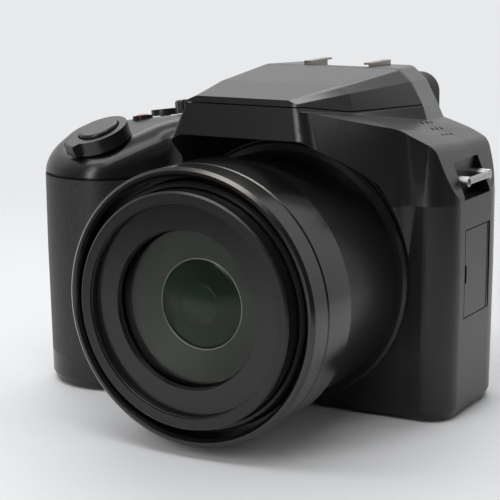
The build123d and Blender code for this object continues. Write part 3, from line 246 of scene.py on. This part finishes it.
group_glass = finish(
    "group_glass", (0.002, 0.012, 0.006), (0.004, 0.03, 0.012),
    rough=0.05, scale=40.0, bump=0.0,
)
coated_green = finish(
    "coated_green", (0.003, 0.009, 0.005), (0.006, 0.018, 0.008),
    rough=0.08, scale=60.0, bump=0.0,
)
set_index(coated_green, 1.3)
coated_deep = finish(
    "coated_deep", (0.003, 0.014, 0.006), (0.005, 0.026, 0.009),
    rough=0.05, scale=90.0, bump=0.0,
)
set_index(coated_deep, 1.36)
cone_brown = finish(
    "cone_brown", (0.03, 0.029, 0.025), (0.036, 0.034, 0.03),
    rough=0.5, scale=300.0, bump=0.0,
)
monitor_glass = finish(
    "monitor_glass", grey(0.003, 0.05), grey(0.005, 0.05),
    rough=0.04, scale=60.0, bump=0.0,
)
screen_grey = finish(
    "screen_grey", (0.02, 0.022, 0.026), (0.024, 0.027, 0.031),
    rough=0.08, scale=30.0, bump=0.0,
)
monitor_dark = finish("monitor_dark", grey(0.004), grey(0.007), rough=0.4, scale=90.0, bump=0.0)
print("finishes with all glass", len(FINISHES))

# %% [markdown]
# ## Each solid gets its finish
# A table of finish to nodes is easier to read and to change than sixty separate lines.

# %% Finish of each CAD node
NODE_FINISHES = {
    shell_black: (
        "flash_lid top_cover front_cover rear_cover battery_door base_plate viewfinder_housing "
        "terminal_door"
    ),
    grip_leather: "grip_rubber thumb_rubber",
    soft_rubber: "eyecup",
    barrel_black: "fixed_barrel zoom_barrel_outer zoom_barrel_inner flange_ring",
    ring_black: "front_ring",
    name_ring_black: "name_ring",
    front_glass: "front_element",
    clear_glass: "eyepiece_lens",
    flash_glass: "flash_window",
    monitor_glass: "monitor_glass",
    monitor_dark: "monitor_panel",
    button_black: (
        "playback_button display_button delete_button lock_button finder_button four_way_pad "
        "set_button thumb_wheel drive_button door_latch diopter_dial movie_button shutter_button"
    ),
    dial_black: "mode_dial power_lever zoom_lever",
    shoe_steel: "hot_shoe",
    bar_steel: "strap_bars base_screws guide_rods door_pin flash_hinge_pins",
    contact_gold: "shoe_contacts",
    frame_alloy: "chassis tripod_socket zoom_motor",
    inner_black: "battery_chamber terminal_sockets drive_ring iris_unit focus_group",
    cone_brown: "lens_baffle",
    group_glass: "variator_group",
    reflector_bright: "flash_reflector",
    board_green: "main_board image_sensor",
    battery_grey: "battery memory_card",
}
for material, names in NODE_FINISHES.items():
    for name in names.split():
        node = nodes[name]
        node.data.materials.clear()
        node.data.materials.append(material)
bare = [name for name, node in nodes.items() if node.data.materials[0].name not in FINISHES]
print("nodes without a finish", bare)

# %% [markdown]
# ## Pieces made in Blender
# Small things sit on the solids: thread turns, numbers on the dial, the red button's cap, marks,
# the flash tube, spring strips in the shoe. Each one is its own mesh, made vertex by vertex with
# bmesh, so it has just the faces that it needs. A primitive and a pile of modifiers would also
# work, but would hide how the shape is made.
#
# Two helpers do what they all share. One keeps a bmesh as an object that rides on a body of the
# frame. The other turns a profile round an axis, which suits rings and lenses.


# %% Helpers for pieces
RING_STEPS = 160


def keep(shape, name, material, body, smooth=True):
    """Turn a bmesh into an object with a finish, riding on a body."""
    bmesh.ops.recalc_face_normals(shape, faces=shape.faces)
    mesh = bpy.data.meshes.new(name)
    shape.to_mesh(mesh)
    shape.free()
    mesh.polygons.foreach_set("use_smooth", [smooth] * len(mesh.polygons))
    mesh.materials.append(material)
    item = bpy.data.objects.new(name, mesh)
    bpy.context.scene.collection.objects.link(item)
    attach(item, body)
    print(name, "faces", len(mesh.polygons), "on", body)
    return item


def turn_profile(points, centre, axis, steps=RING_STEPS):
    """A bmesh of a closed profile of (radius, height) turned round an axis through a centre."""
    shape = bmesh.new()
    axis = Vector(axis).normalized()
    side = axis.orthogonal().normalized()
    other = axis.cross(side)
    rings = []
    for step in range(steps):
        angle = TURN * step / steps
        spoke = side * math.cos(angle) + other * math.sin(angle)
        rings.append([shape.verts.new(Vector(centre) + spoke * r + axis * h) for r, h in points])
    for ring, following in zip(rings, rings[1:] + rings[:1]):
        for index in range(len(points)):
            after = (index + 1) % len(points)
            shape.faces.new((ring[index], ring[after], following[after], following[index]))
    return shape


print("a ring has", RING_STEPS, "steps")

# %% [markdown]
# ### The lens inside the lens
# Behind the front glass the barrel narrows to a second, smaller element with a green coating, and
# it is this dark green eye that one sees from the front. A smaller, deeper green disc lies on its
# middle, where the coating of the next lens shows, and its seat is worked out from the curve of
# the larger one. Each is a domed disc: its front follows an arc from the rim to the middle, and
# stops just short of the axis, so that no face shrinks to a point.

# %% Inner element and its core
LENS_CENTRE = (LENS_X, 0, LENS_Z)
LENS_AXIS = (0, 1, 0)
POLE_R = 0.02
EYE_R = 11.6 * MM
EYE_RIM_Y = -48.6 * MM
EYE_BACK_Y = -46.2 * MM
EYE_RISE = 1.5 * MM
CORE_R = 5.6 * MM
CORE_RISE = 0.7 * MM
CORE_SEAT = EYE_RIM_Y - EYE_RISE * (1 - (CORE_R / EYE_R) ** 2)
CORE_PROUD = 0.08 * MM
CORE_SUNK = 0.3 * MM
ARC_STEPS = 14


def dome_profile(radius, rim_y, back_y, rise):
    """Radius and depth of a domed disc, from its back over the rim to the middle."""
    points = [(POLE_R * MM, back_y), (radius, back_y)]
    for step in range(ARC_STEPS + 1):
        share = step / ARC_STEPS
        depth = rim_y - rise * (1 - (1 - share) ** 2)
        points.append((max(radius * (1 - share), POLE_R * MM), depth))
    return points


eye_profile = dome_profile(EYE_R, EYE_RIM_Y, EYE_BACK_Y, EYE_RISE)
keep(
    turn_profile(eye_profile, LENS_CENTRE, LENS_AXIS),
    "inner_element", coated_green, "barrel_inner",
)
core_profile = dome_profile(CORE_R, CORE_SEAT - CORE_PROUD, CORE_SEAT + CORE_SUNK, CORE_RISE)
keep(
    turn_profile(core_profile, LENS_CENTRE, LENS_AXIS),
    "inner_core", coated_deep, "barrel_inner",
)

# %% [markdown]
# A thin bright rim holds the inner element in the hole of the cone. It could be a line in the
# finish of the cone, but as a ring of its own it catches the light all round, as the real one
# does.

# %% Rim of the inner element
RIM_R = 11.8 * MM
RIM_WIDTH = 0.22 * MM
RIM_THICK = 0.15 * MM
RIM_Y = -48.75 * MM
rim_profile = [
    (RIM_R - RIM_WIDTH, RIM_Y), (RIM_R - RIM_WIDTH, RIM_Y - RIM_THICK),
    (RIM_R, RIM_Y - RIM_THICK), (RIM_R, RIM_Y),
]
keep(
    turn_profile(rim_profile, LENS_CENTRE, LENS_AXIS),
    "inner_rim", frame_alloy, "barrel_inner",
)

# %% [markdown]
# A small pit on the name ring takes the tip of a tool that turns the ring in its thread. It is
# drawn as a shallow black disc that lies on the ring's front face, as painted shade where the
# hollow of the pit would be dark.

# %% Tool pit of the name ring, a disc of painted shade
SMALL_RING_STEPS = 24
PIT_R = 0.5 * MM
PIT_POLE = 0.01 * MM
PIT_RISE = 0.03 * MM
PIT_ORBIT = 26.1 * MM
PIT_ANGLE = math.radians(-0.7)
ring_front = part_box("name_ring")[0].y
pit_middle = Vector((
    LENS_X + PIT_ORBIT * math.cos(PIT_ANGLE), ring_front, LENS_Z + PIT_ORBIT * math.sin(PIT_ANGLE)
))
pit_shade_profile = [
    (PIT_POLE, -PIT_RISE), (PIT_R, -PIT_RISE), (PIT_R, PIT_RISE), (PIT_POLE, PIT_RISE)
]
# The black disc is painted shade that stands in for the pit's hollow.
keep(
    turn_profile(pit_shade_profile, pit_middle, LENS_AXIS, steps=SMALL_RING_STEPS),
    "name_ring_pit_painted_shade", inner_black, "barrel_inner",
)

# %% [markdown]
# ### Threads
# The filter screws into fine turns inside the lens rim, and the tripod screw into coarser ones
# in its bush. A helix would need a run-out at each end. Seen from outside, closed rings of a
# saw-tooth profile look the same, stay inside the bore and close on themselves.

# %% Threads of the filter rim and of the tripod bush
FILTER_R = 27.5 * MM
FILTER_PITCH = 0.75 * MM
FILTER_TURNS = 2
FILTER_TOOTH = 0.25 * MM
FILTER_START = 0.45 * MM
TRIPOD_R = 3.175 * MM
TRIPOD_PITCH = 1.27 * MM
TRIPOD_TURNS = 4
TRIPOD_TOOTH = 0.45 * MM
TRIPOD_START = 0.2 * MM
TRIPOD_Y = 21.5 * MM
TRIPOD_STEPS = 48
CREST_START = 0.45
CREST_END = 0.55
ROOT_SHARE = 0.1


def thread_profile(bore, pitch, turns, tooth, start):
    """Radius and height of a saw-tooth that lines a bore."""
    points = [(bore, start)]
    for turn in range(turns):
        base = start + turn * pitch
        points.append((bore - tooth, base + pitch * CREST_START))
        points.append((bore - tooth, base + pitch * CREST_END))
        points.append((bore - tooth * ROOT_SHARE, base + pitch))
    points.append((bore, start + turns * pitch))
    return points


filter_profile = thread_profile(FILTER_R, FILTER_PITCH, FILTER_TURNS, FILTER_TOOTH, FILTER_START)
keep(
    turn_profile(filter_profile, (LENS_X, LENS_FRONT_Y, LENS_Z), LENS_AXIS),
    "filter_thread", barrel_black, "barrel_inner",
)
tripod_profile = thread_profile(TRIPOD_R, TRIPOD_PITCH, TRIPOD_TURNS, TRIPOD_TOOTH, TRIPOD_START)
keep(
    turn_profile(tripod_profile, (LENS_X, TRIPOD_Y, 0.0), (0, 0, 1), steps=TRIPOD_STEPS),
    "tripod_thread", frame_alloy, "body",
)

# %% [markdown]
# ### The plate of the controls
# The mode dial, the power lever and the movie button stand on a plate that leans towards the
# grip and falls a little to the back. A small frame of three directions for each seat lets the
# marks be placed flat on their tops, where typed angles would have to be tried out. The matrix of
# those directions moves the finished mesh there. On the plate, and later on the back, places are
# in millimetres, as on a drawing.


# %% Seats on the plate
PLATE_X = -42.0
PLATE_Y = 4.0
PLATE_Z = 77.0
PLATE_TILT = 0.14
PLATE_DROP = 2.4
PLATE_LENGTH = 42.0
PLATE_FALL = PLATE_DROP / PLATE_LENGTH


def stand_on(x_axis, y_axis, z_axis, origin):
    """The matrix that takes a mesh's own axes to three directions at an origin."""
    return Matrix((
        (x_axis[0], y_axis[0], z_axis[0], origin[0]),
        (x_axis[1], y_axis[1], z_axis[1], origin[1]),
        (x_axis[2], y_axis[2], z_axis[2], origin[2]),
        (0, 0, 0, 1),
    ))


def plate_seat(x, y):
    """Origin and the three directions of the plate at a point, x and y in millimetres."""
    z = PLATE_Z + PLATE_TILT * (x - PLATE_X) - PLATE_FALL * (y - PLATE_Y)
    across = Vector((1, 0, PLATE_TILT)).normalized()
    normal = Vector((-PLATE_TILT, PLATE_FALL, 1)).normalized()
    return Vector((x, y, z)) * MM, across, normal.cross(across), normal


def put_flat(item, seat, u, v, height, spin=0.0):
    """Lay an object on a seat, at u and v millimetres from its origin."""
    origin, across, along, normal = seat
    turned = across * math.cos(spin) + along * math.sin(spin)
    place = origin + (across * u + along * v + normal * height) * MM
    item.data.transform(stand_on(turned, normal.cross(turned), normal, place))


DIAL_X = -23.4
DIAL_Y = 20.0
DIAL_HEIGHT = 4.2
DIAL_SEAT = plate_seat(DIAL_X, DIAL_Y)
print("dial stands at", DIAL_SEAT[0])

# %% [markdown]
# ### Numbers on the mode dial
# Plain numbers mark the places of the dial. Blender's own text makes them: each figure is a text
# curve with a little depth, turned into a mesh and laid on the dial's top, facing outwards.

# %% Dial numbers
FIGURE_SIZE = 2.7 * MM
FIGURE_DEPTH = 0.04 * MM
FIGURE_ORBIT = 7.2
FIGURES = 9
for figure in range(FIGURES):
    text = bpy.data.curves.new(f"figure_{figure}", "FONT")
    text.body = str(figure + 1)
    text.size = FIGURE_SIZE
    text.extrude = FIGURE_DEPTH
    text.align_x = "CENTER"
    text.align_y = "CENTER"
    holder = bpy.data.objects.new(f"figure_text_{figure}", text)
    bpy.context.scene.collection.objects.link(holder)
    bpy.context.view_layer.update()
    mesh = bpy.data.meshes.new_from_object(holder)
    bpy.data.objects.remove(holder)
    mesh.materials.clear()
    mesh.materials.append(mark_white)
    item = bpy.data.objects.new(f"dial_figure_{figure + 1}", mesh)
    bpy.context.scene.collection.objects.link(item)
    angle = TURN * figure / FIGURES
    put_flat(
        item, DIAL_SEAT, FIGURE_ORBIT * math.cos(angle), FIGURE_ORBIT * math.sin(angle),
        DIAL_HEIGHT + FIGURE_DEPTH / MM, angle - math.pi / 2,
    )
    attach(item, "mode")
print("figures on the dial", FIGURES)

# %% [markdown]
# ### The index mark and the lever's dot
# A short white line on the plate says which number is set, and a white dot shows the way of the
# power lever. Both are printed on the real camera. Here they are very thin plates: an outline
# with a thickness, which one more helper makes for all the flat marks below.


# %% Index mark and dot
INDEX_Y = 8.4
INDEX_HALF_WIDTH = 0.25
INDEX_HALF_LENGTH = 1.0
INDEX_THICK = 0.06
POWER_X = -41.0
POWER_Y = 23.0
POWER_HEIGHT = 2.2
DOT_U = -1.0
DOT_V = 5.4
DOT_R = 0.55
DOT_STEPS = 20
MARK_THICK = 0.05


def flat_outline(points, thickness):
    """A bmesh of a flat outline of points in millimetres with a thickness."""
    shape = bmesh.new()
    low = [shape.verts.new((x * MM, y * MM, 0)) for x, y in points]
    high = [shape.verts.new((x * MM, y * MM, thickness * MM)) for x, y in points]
    shape.faces.new(low[::-1])
    shape.faces.new(high)
    for index in range(len(points)):
        after = (index + 1) % len(points)
        shape.faces.new((low[index], low[after], high[after], high[index]))
    return shape


index_outline = [
    (-INDEX_HALF_WIDTH, -INDEX_HALF_LENGTH), (INDEX_HALF_WIDTH, -INDEX_HALF_LENGTH),
    (INDEX_HALF_WIDTH, INDEX_HALF_LENGTH), (-INDEX_HALF_WIDTH, INDEX_HALF_LENGTH),
]
index_mark = keep(
    flat_outline(index_outline, INDEX_THICK),
    "dial_index", mark_white, "body", smooth=False,
)
put_flat(index_mark, plate_seat(DIAL_X, INDEX_Y), 0.0, 0.0, 0.0)
dot_angles = [TURN * step / DOT_STEPS for step in range(DOT_STEPS)]
dot_outline = [(DOT_R * math.cos(angle), DOT_R * math.sin(angle)) for angle in dot_angles]
power_dot = keep(
    flat_outline(dot_outline, MARK_THICK),
    "power_dot", mark_white, "power", smooth=False,
)
put_flat(power_dot, plate_seat(POWER_X, POWER_Y), DOT_U, DOT_V, POWER_HEIGHT)

# %% [markdown]
# ### The red cap of the movie button
# A shallow dome shows as a red spot from every side. Its profile is turned round the button's
# own axis: a few points of an arc, then a small foot that sinks in the button below.

# %% Movie button cap
MOVIE_X = -38.6
MOVIE_Y = 7.0
MOVIE_HEIGHT = 0.8
CAP_R = 2.0
CAP_RISE = 0.35
CAP_FOOT = 0.1
CAP_ARC_STEPS = 6
CAP_RING_STEPS = 40
cap_profile = [(POLE_R * MM, -CAP_FOOT * MM), (CAP_R * MM, -CAP_FOOT * MM)]
for step in range(CAP_ARC_STEPS + 1):
    angle = step / CAP_ARC_STEPS * math.pi / 2
    radius = max(CAP_R * math.cos(angle), POLE_R)
    cap_profile.append((radius * MM, CAP_RISE * math.sin(angle) * MM))
movie_seat = plate_seat(MOVIE_X, MOVIE_Y)
movie_axis = movie_seat[3]
movie_top = movie_seat[0] + movie_axis * MOVIE_HEIGHT * MM
keep(
    turn_profile(cap_profile, movie_top, movie_axis, steps=CAP_RING_STEPS),
    "movie_cap", record_red, "movie",
)

# %% [markdown]
# ### Marks on the back
# Four arrow heads on the four-way pad and a triangle on the playback button are the plain signs
# that any such camera has. They are thin flat plates that lie on the buttons' back faces.

# %% Marks on the buttons of the back
BUTTON_BACK_Y = 41.8
PAD_X = -36.0
PAD_Z = 32.0
PLAY_X = -25.0
PLAY_Z = 51.0
ARROW_ORBIT = 7.7
ARROW = [(-0.9, -0.5), (0.9, -0.5), (0.0, 0.6)]
TRIANGLE = [(-0.8, -0.9), (1.0, 0.0), (-0.8, 0.9)]
BACKWARD = Vector((0, 1, 0))


def put_on_back(item, x, z, spin=0.0):
    """Stand a flat mark on the back at x and z millimetres."""
    across = Vector((-math.cos(spin), 0, math.sin(spin)))
    place = Vector((x, BUTTON_BACK_Y, z)) * MM
    item.data.transform(stand_on(across, BACKWARD.cross(across), BACKWARD, place))


for quarter in range(4):
    spin = TURN * quarter / 4
    arrow = keep(
        flat_outline(ARROW, MARK_THICK),
        f"pad_arrow_{quarter + 1}", mark_white, "pad", smooth=False,
    )
    x = PAD_X - ARROW_ORBIT * math.sin(spin)
    put_on_back(arrow, x, PAD_Z + ARROW_ORBIT * math.cos(spin), -spin)
play = keep(
    flat_outline(TRIANGLE, MARK_THICK),
    "playback_mark", mark_white, "playback", smooth=False,
)
put_on_back(play, PLAY_X, PLAY_Z)

# %% [markdown]
# ### The screen area
# The monitor's glass is printed black round its edge, and the part that lights up inside that
# border is a shade paler. A thin plate with its corners cut off, on the glass, shows where it is.

# %% Screen area of the monitor
SCREEN_BORDER = 3.2
SCREEN_CORNER = 0.6
SCREEN_THICK = 0.03
SCREEN_SUNK = 0.005 * MM
glass_low, glass_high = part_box("monitor_glass")
screen_half_x = (glass_high.x - glass_low.x) / 2 / MM - SCREEN_BORDER
screen_half_z = (glass_high.z - glass_low.z) / 2 / MM - SCREEN_BORDER
screen_outline = []
for side_x, side_z in ((1, 1), (-1, 1), (-1, -1), (1, -1)):
    cuts = [(side_x * screen_half_x, side_z * (screen_half_z - SCREEN_CORNER)),
            (side_x * (screen_half_x - SCREEN_CORNER), side_z * screen_half_z)]
    screen_outline += cuts if side_x * side_z > 0 else cuts[::-1]
screen = keep(
    flat_outline(screen_outline, SCREEN_THICK),
    "monitor_screen_area", screen_grey, "body", smooth=False,
)
glass_middle = (glass_low + glass_high) / 2
screen_place = (glass_middle.x, glass_high.y - SCREEN_SUNK, glass_middle.z)
screen.data.transform(stand_on((-1, 0, 0), (0, 0, 1), (0, 1, 0), screen_place))
print("screen area", round(2 * screen_half_x, 1), "by", round(2 * screen_half_z, 1), "mm")

# %% [markdown]
# ### The flash tube
# Behind the window of the pop-up flash a glass tube lies across the bright reflector. It shows
# when the lid is up. It is turned round its own axis, which runs from side to side.

# %% Flash tube
TUBE_R = 0.9 * MM
TUBE_END_SHARE = 0.8
TUBE_CHAMFER = 0.2 * MM
TUBE_POLE = 0.05 * MM
TUBE_INSET = 1.2 * MM
TUBE_SETBACK = 3.2 * MM
tube_low, tube_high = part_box("flash_reflector")
tube_half = (tube_high.x - tube_low.x) / 2 - TUBE_INSET
tube_middle = (tube_low + tube_high) / 2
tube_middle.y = tube_high.y - TUBE_SETBACK
tube_end_r = TUBE_R * TUBE_END_SHARE
tube_profile = [
    (TUBE_POLE, -tube_half), (tube_end_r, -tube_half), (TUBE_R, -tube_half + TUBE_CHAMFER),
    (TUBE_R, tube_half - TUBE_CHAMFER), (tube_end_r, tube_half), (TUBE_POLE, tube_half),
]
keep(
    turn_profile(tube_profile, tube_middle, (1, 0, 0), steps=SMALL_RING_STEPS),
    "flash_tube", clear_glass, "flash",
)

# %% [markdown]
# ### Spring strips in the shoe
# Two bowed strips under the shoe's rails press on the foot of whatever slides in. Each is a thin
# strip whose height follows an arc along the rail. A flat strip that an armature bends would do
# as well, but here a sine says it in one line.

# %% Shoe springs
STRIP_OUT = 9.0 * MM
STRIP_HALF = 0.5 * MM
STRIP_THICK = 0.12 * MM
STRIP_LIFT = 0.72 * MM
STRIP_BOW = 0.55 * MM
STRIP_INSET = 1.5 * MM
STRIP_STEPS = 10
STRIP_SECTION = [
    (-STRIP_HALF, 0), (STRIP_HALF, 0), (STRIP_HALF, STRIP_THICK), (-STRIP_HALF, STRIP_THICK)
]
shoe_low, shoe_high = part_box("hot_shoe")
for side in (-1, 1):
    strip = bmesh.new()
    centre_x = LENS_X + side * STRIP_OUT
    sections = []
    for step in range(STRIP_STEPS + 1):
        share = step / STRIP_STEPS
        y = shoe_low.y + STRIP_INSET + share * (shoe_high.y - shoe_low.y - 2 * STRIP_INSET)
        z = shoe_low.z + STRIP_LIFT + STRIP_BOW * math.sin(share * math.pi)
        sections.append([strip.verts.new((centre_x + dx, y, z + dz)) for dx, dz in STRIP_SECTION])
    for near, far in zip(sections, sections[1:]):
        for index in range(len(STRIP_SECTION)):
            after = (index + 1) % len(STRIP_SECTION)
            strip.faces.new((near[index], near[after], far[after], far[index]))
    strip.faces.new(sections[0])
    strip.faces.new(sections[-1][::-1])
    keep(strip, f"shoe_spring_{'left' if side < 0 else 'right'}", shoe_steel, "body")

# %% [markdown]
# ## The camera in the scene
# The picture is taken from the front, thirty degrees round to the side away from the grip, and
# from a little above. A long lens far away keeps the two ends of the body nearly the same size.
# The place is written as a turn, a height, a roll and a distance, which is easier to match to a
# picture than a bare position would be.

# %% The camera in the scene
VIEW_AZIMUTH = math.radians(29.99)
VIEW_HEIGHT = math.radians(11.6)
VIEW_ROLL = math.radians(-0.5)
VIEW_DISTANCE = 455.46 * MM
VIEW_TARGET = Vector((1.68 * MM, 0.0, 42.5 * MM))
VIEW_NEAR = 10.0 * MM
PIXELS = 500
FOCAL_PIXELS = 1600.0
SENSOR_WIDTH = 36.0

back = Vector((
    math.sin(VIEW_AZIMUTH) * math.cos(VIEW_HEIGHT),
    -math.cos(VIEW_AZIMUTH) * math.cos(VIEW_HEIGHT),
    math.sin(VIEW_HEIGHT),
))
level_right = (-back).cross(Vector((0, 0, 1))).normalized()
level_up = level_right.cross(-back)
right = level_right * math.cos(VIEW_ROLL) + level_up * math.sin(VIEW_ROLL)
up = level_up * math.cos(VIEW_ROLL) - level_right * math.sin(VIEW_ROLL)
view = bpy.data.cameras.new("view")
view.sensor_width = SENSOR_WIDTH
view.lens = FOCAL_PIXELS / PIXELS * SENSOR_WIDTH
view.clip_start = VIEW_NEAR
view_object = bpy.data.objects.new("view", view)
bpy.context.scene.collection.objects.link(view_object)
view_object.matrix_world = stand_on(right, up, back, VIEW_TARGET + back * VIEW_DISTANCE)
bpy.context.scene.camera = view_object
print("lens", round(view.lens, 1), "mm")

# %% [markdown]
# ## The floor
# The floor is a large pale sheet. Where it ends its edge would show as a line, so its paint lets
# more and more of the surroundings through as it gets farther from the camera. The share comes
# from the distance to the middle of the sheet, taken from the object coordinates. A sheet that
# curves up behind the camera, as in a photo studio, would also do, but it has to be as large as
# the widest view.

# %% Sheet of the floor
FLOOR_HALF = 1.1
sheet = bmesh.new()
sheet.faces.new([
    sheet.verts.new((FLOOR_HALF * x, FLOOR_HALF * y, 0))
    for x, y in ((-1, -1), (1, -1), (1, 1), (-1, 1))
])
floor_mesh = bpy.data.meshes.new("floor")
sheet.to_mesh(floor_mesh)
sheet.free()
floor = bpy.data.objects.new("floor", floor_mesh)
bpy.context.scene.collection.objects.link(floor)
print("floor is", 2 * FLOOR_HALF, "metres wide")

# %% [markdown]
# The paint itself is a finish like the others. Its shader is then mixed with a clear one, and a
# smooth step from the near to the far distance says how much of each there is.

# %% Paint that fades into the background
FADE_START = 0.16
FADE_END = 0.44
floor_paint = finish(
    "floor_paint", (0.77, 0.775, 0.785), (0.78, 0.785, 0.795),
    rough=0.75, scale=3.0, bump=0.0,
)
tree = floor_paint.node_tree
spot = tree.nodes.new("ShaderNodeTexCoord")
reach = tree.nodes.new("ShaderNodeVectorMath")
reach.operation = "LENGTH"
tree.links.new(spot.outputs["Object"], reach.inputs[0])
fade = tree.nodes.new("ShaderNodeMapRange")
fade.interpolation_type = "SMOOTHSTEP"
fade.inputs["From Min"].default_value = FADE_START
fade.inputs["From Max"].default_value = FADE_END
tree.links.new(reach.outputs["Value"], fade.inputs["Value"])
clear = tree.nodes.new("ShaderNodeBsdfTransparent")
blend = tree.nodes.new("ShaderNodeMixShader")
tree.links.new(fade.outputs["Result"], blend.inputs["Fac"])
tree.links.new(tree.nodes["Principled BSDF"].outputs["BSDF"], blend.inputs[1])
tree.links.new(clear.outputs["BSDF"], blend.inputs[2])
tree.links.new(blend.outputs["Shader"], tree.nodes["Material Output"].inputs["Surface"])
floor_mesh.materials.append(floor_paint)
print("floor fades from", FADE_START, "to", FADE_END, "metres")

# %% [markdown]
# ## The room
# A black object is drawn by what it mirrors. The room is pale behind the camera body and above
# it, and falls off to dark on the side that the picture is taken from. So the faces that look up
# or away turn grey, and those that look at us stay dark. An even white room would be simpler and
# would turn the whole body grey. The level of the room follows how far a direction points to its
# pale side, which a dot product measures, through the steps of a colour ramp.

# %% A room that is pale behind and dark in front
ROOM_SIDE = (-0.45, 0.78, 0.44)
ROOM_STEPS = [(0.0, 0.05), (0.4, 0.1), (0.62, 0.4), (0.8, 0.82), (1.0, 0.82)]
ROOM_TINT = (0.985, 0.995, 1.01)
world = bpy.data.worlds.new("room")
bpy.context.scene.world = world
world.use_nodes = True
tree = world.node_tree
where = tree.nodes.new("ShaderNodeTexCoord")
facing = tree.nodes.new("ShaderNodeVectorMath")
facing.operation = "DOT_PRODUCT"
facing.inputs[1].default_value = ROOM_SIDE
tree.links.new(where.outputs["Generated"], facing.inputs[0])
share = tree.nodes.new("ShaderNodeMapRange")
share.inputs["From Min"].default_value = -1.0
share.inputs["From Max"].default_value = 1.0
tree.links.new(facing.outputs["Value"], share.inputs["Value"])
shade = tree.nodes.new("ShaderNodeValToRGB")
while len(shade.color_ramp.elements) < len(ROOM_STEPS):
    shade.color_ramp.elements.new(0.5)
for element, (position, level) in zip(shade.color_ramp.elements, ROOM_STEPS):
    element.position = position
    element.color = (*(level * tint for tint in ROOM_TINT), 1.0)
tree.links.new(share.outputs["Result"], shade.inputs["Fac"])
tree.links.new(shade.outputs["Color"], tree.nodes["Background"].inputs["Color"])
print("steps of the room", len(ROOM_STEPS))

# %% [markdown]
# ## The lamps
# The lamps are plain soft rectangles. One is high behind and lights the slopes, one is above, a
# tall one in front makes soft streaks, and a narrow one on the right draws the edge of the
# shoulder. Small hard lamps would put a bright dot on every button. All of them look at the
# middle of the camera.


# %% Lamps
def lamp(name, spot, aim, width, height, power):
    """A soft rectangular lamp that looks at a point."""
    data = bpy.data.lights.new(name, "AREA")
    data.shape = "RECTANGLE"
    data.size = width
    data.size_y = height
    data.energy = power
    item = bpy.data.objects.new(name, data)
    item.location = spot
    item.rotation_euler = (Vector(aim) - Vector(spot)).to_track_quat("-Z", "Y").to_euler()
    bpy.context.scene.collection.objects.link(item)
    print(name, "gives", power, "watts")


LAMP_AIM = (0, 0, 0.05)
TOP_LAMP_AIM = (0, 0, 0.04)
lamp("lamp_back", (-0.4, 0.67, 0.92), LAMP_AIM, width=1.0, height=0.5, power=4.3)
lamp("lamp_top", (0.0, -0.36, 0.95), TOP_LAMP_AIM, width=1.1, height=0.14, power=3.9)
lamp("lamp_front", (-0.1, -0.89, 0.46), LAMP_AIM, width=0.2, height=0.75, power=3.9)
lamp("lamp_right", (0.95, -0.15, 0.5), LAMP_AIM, width=0.15, height=0.6, power=0.7)
bpy.context.scene.view_settings.view_transform = "Standard"
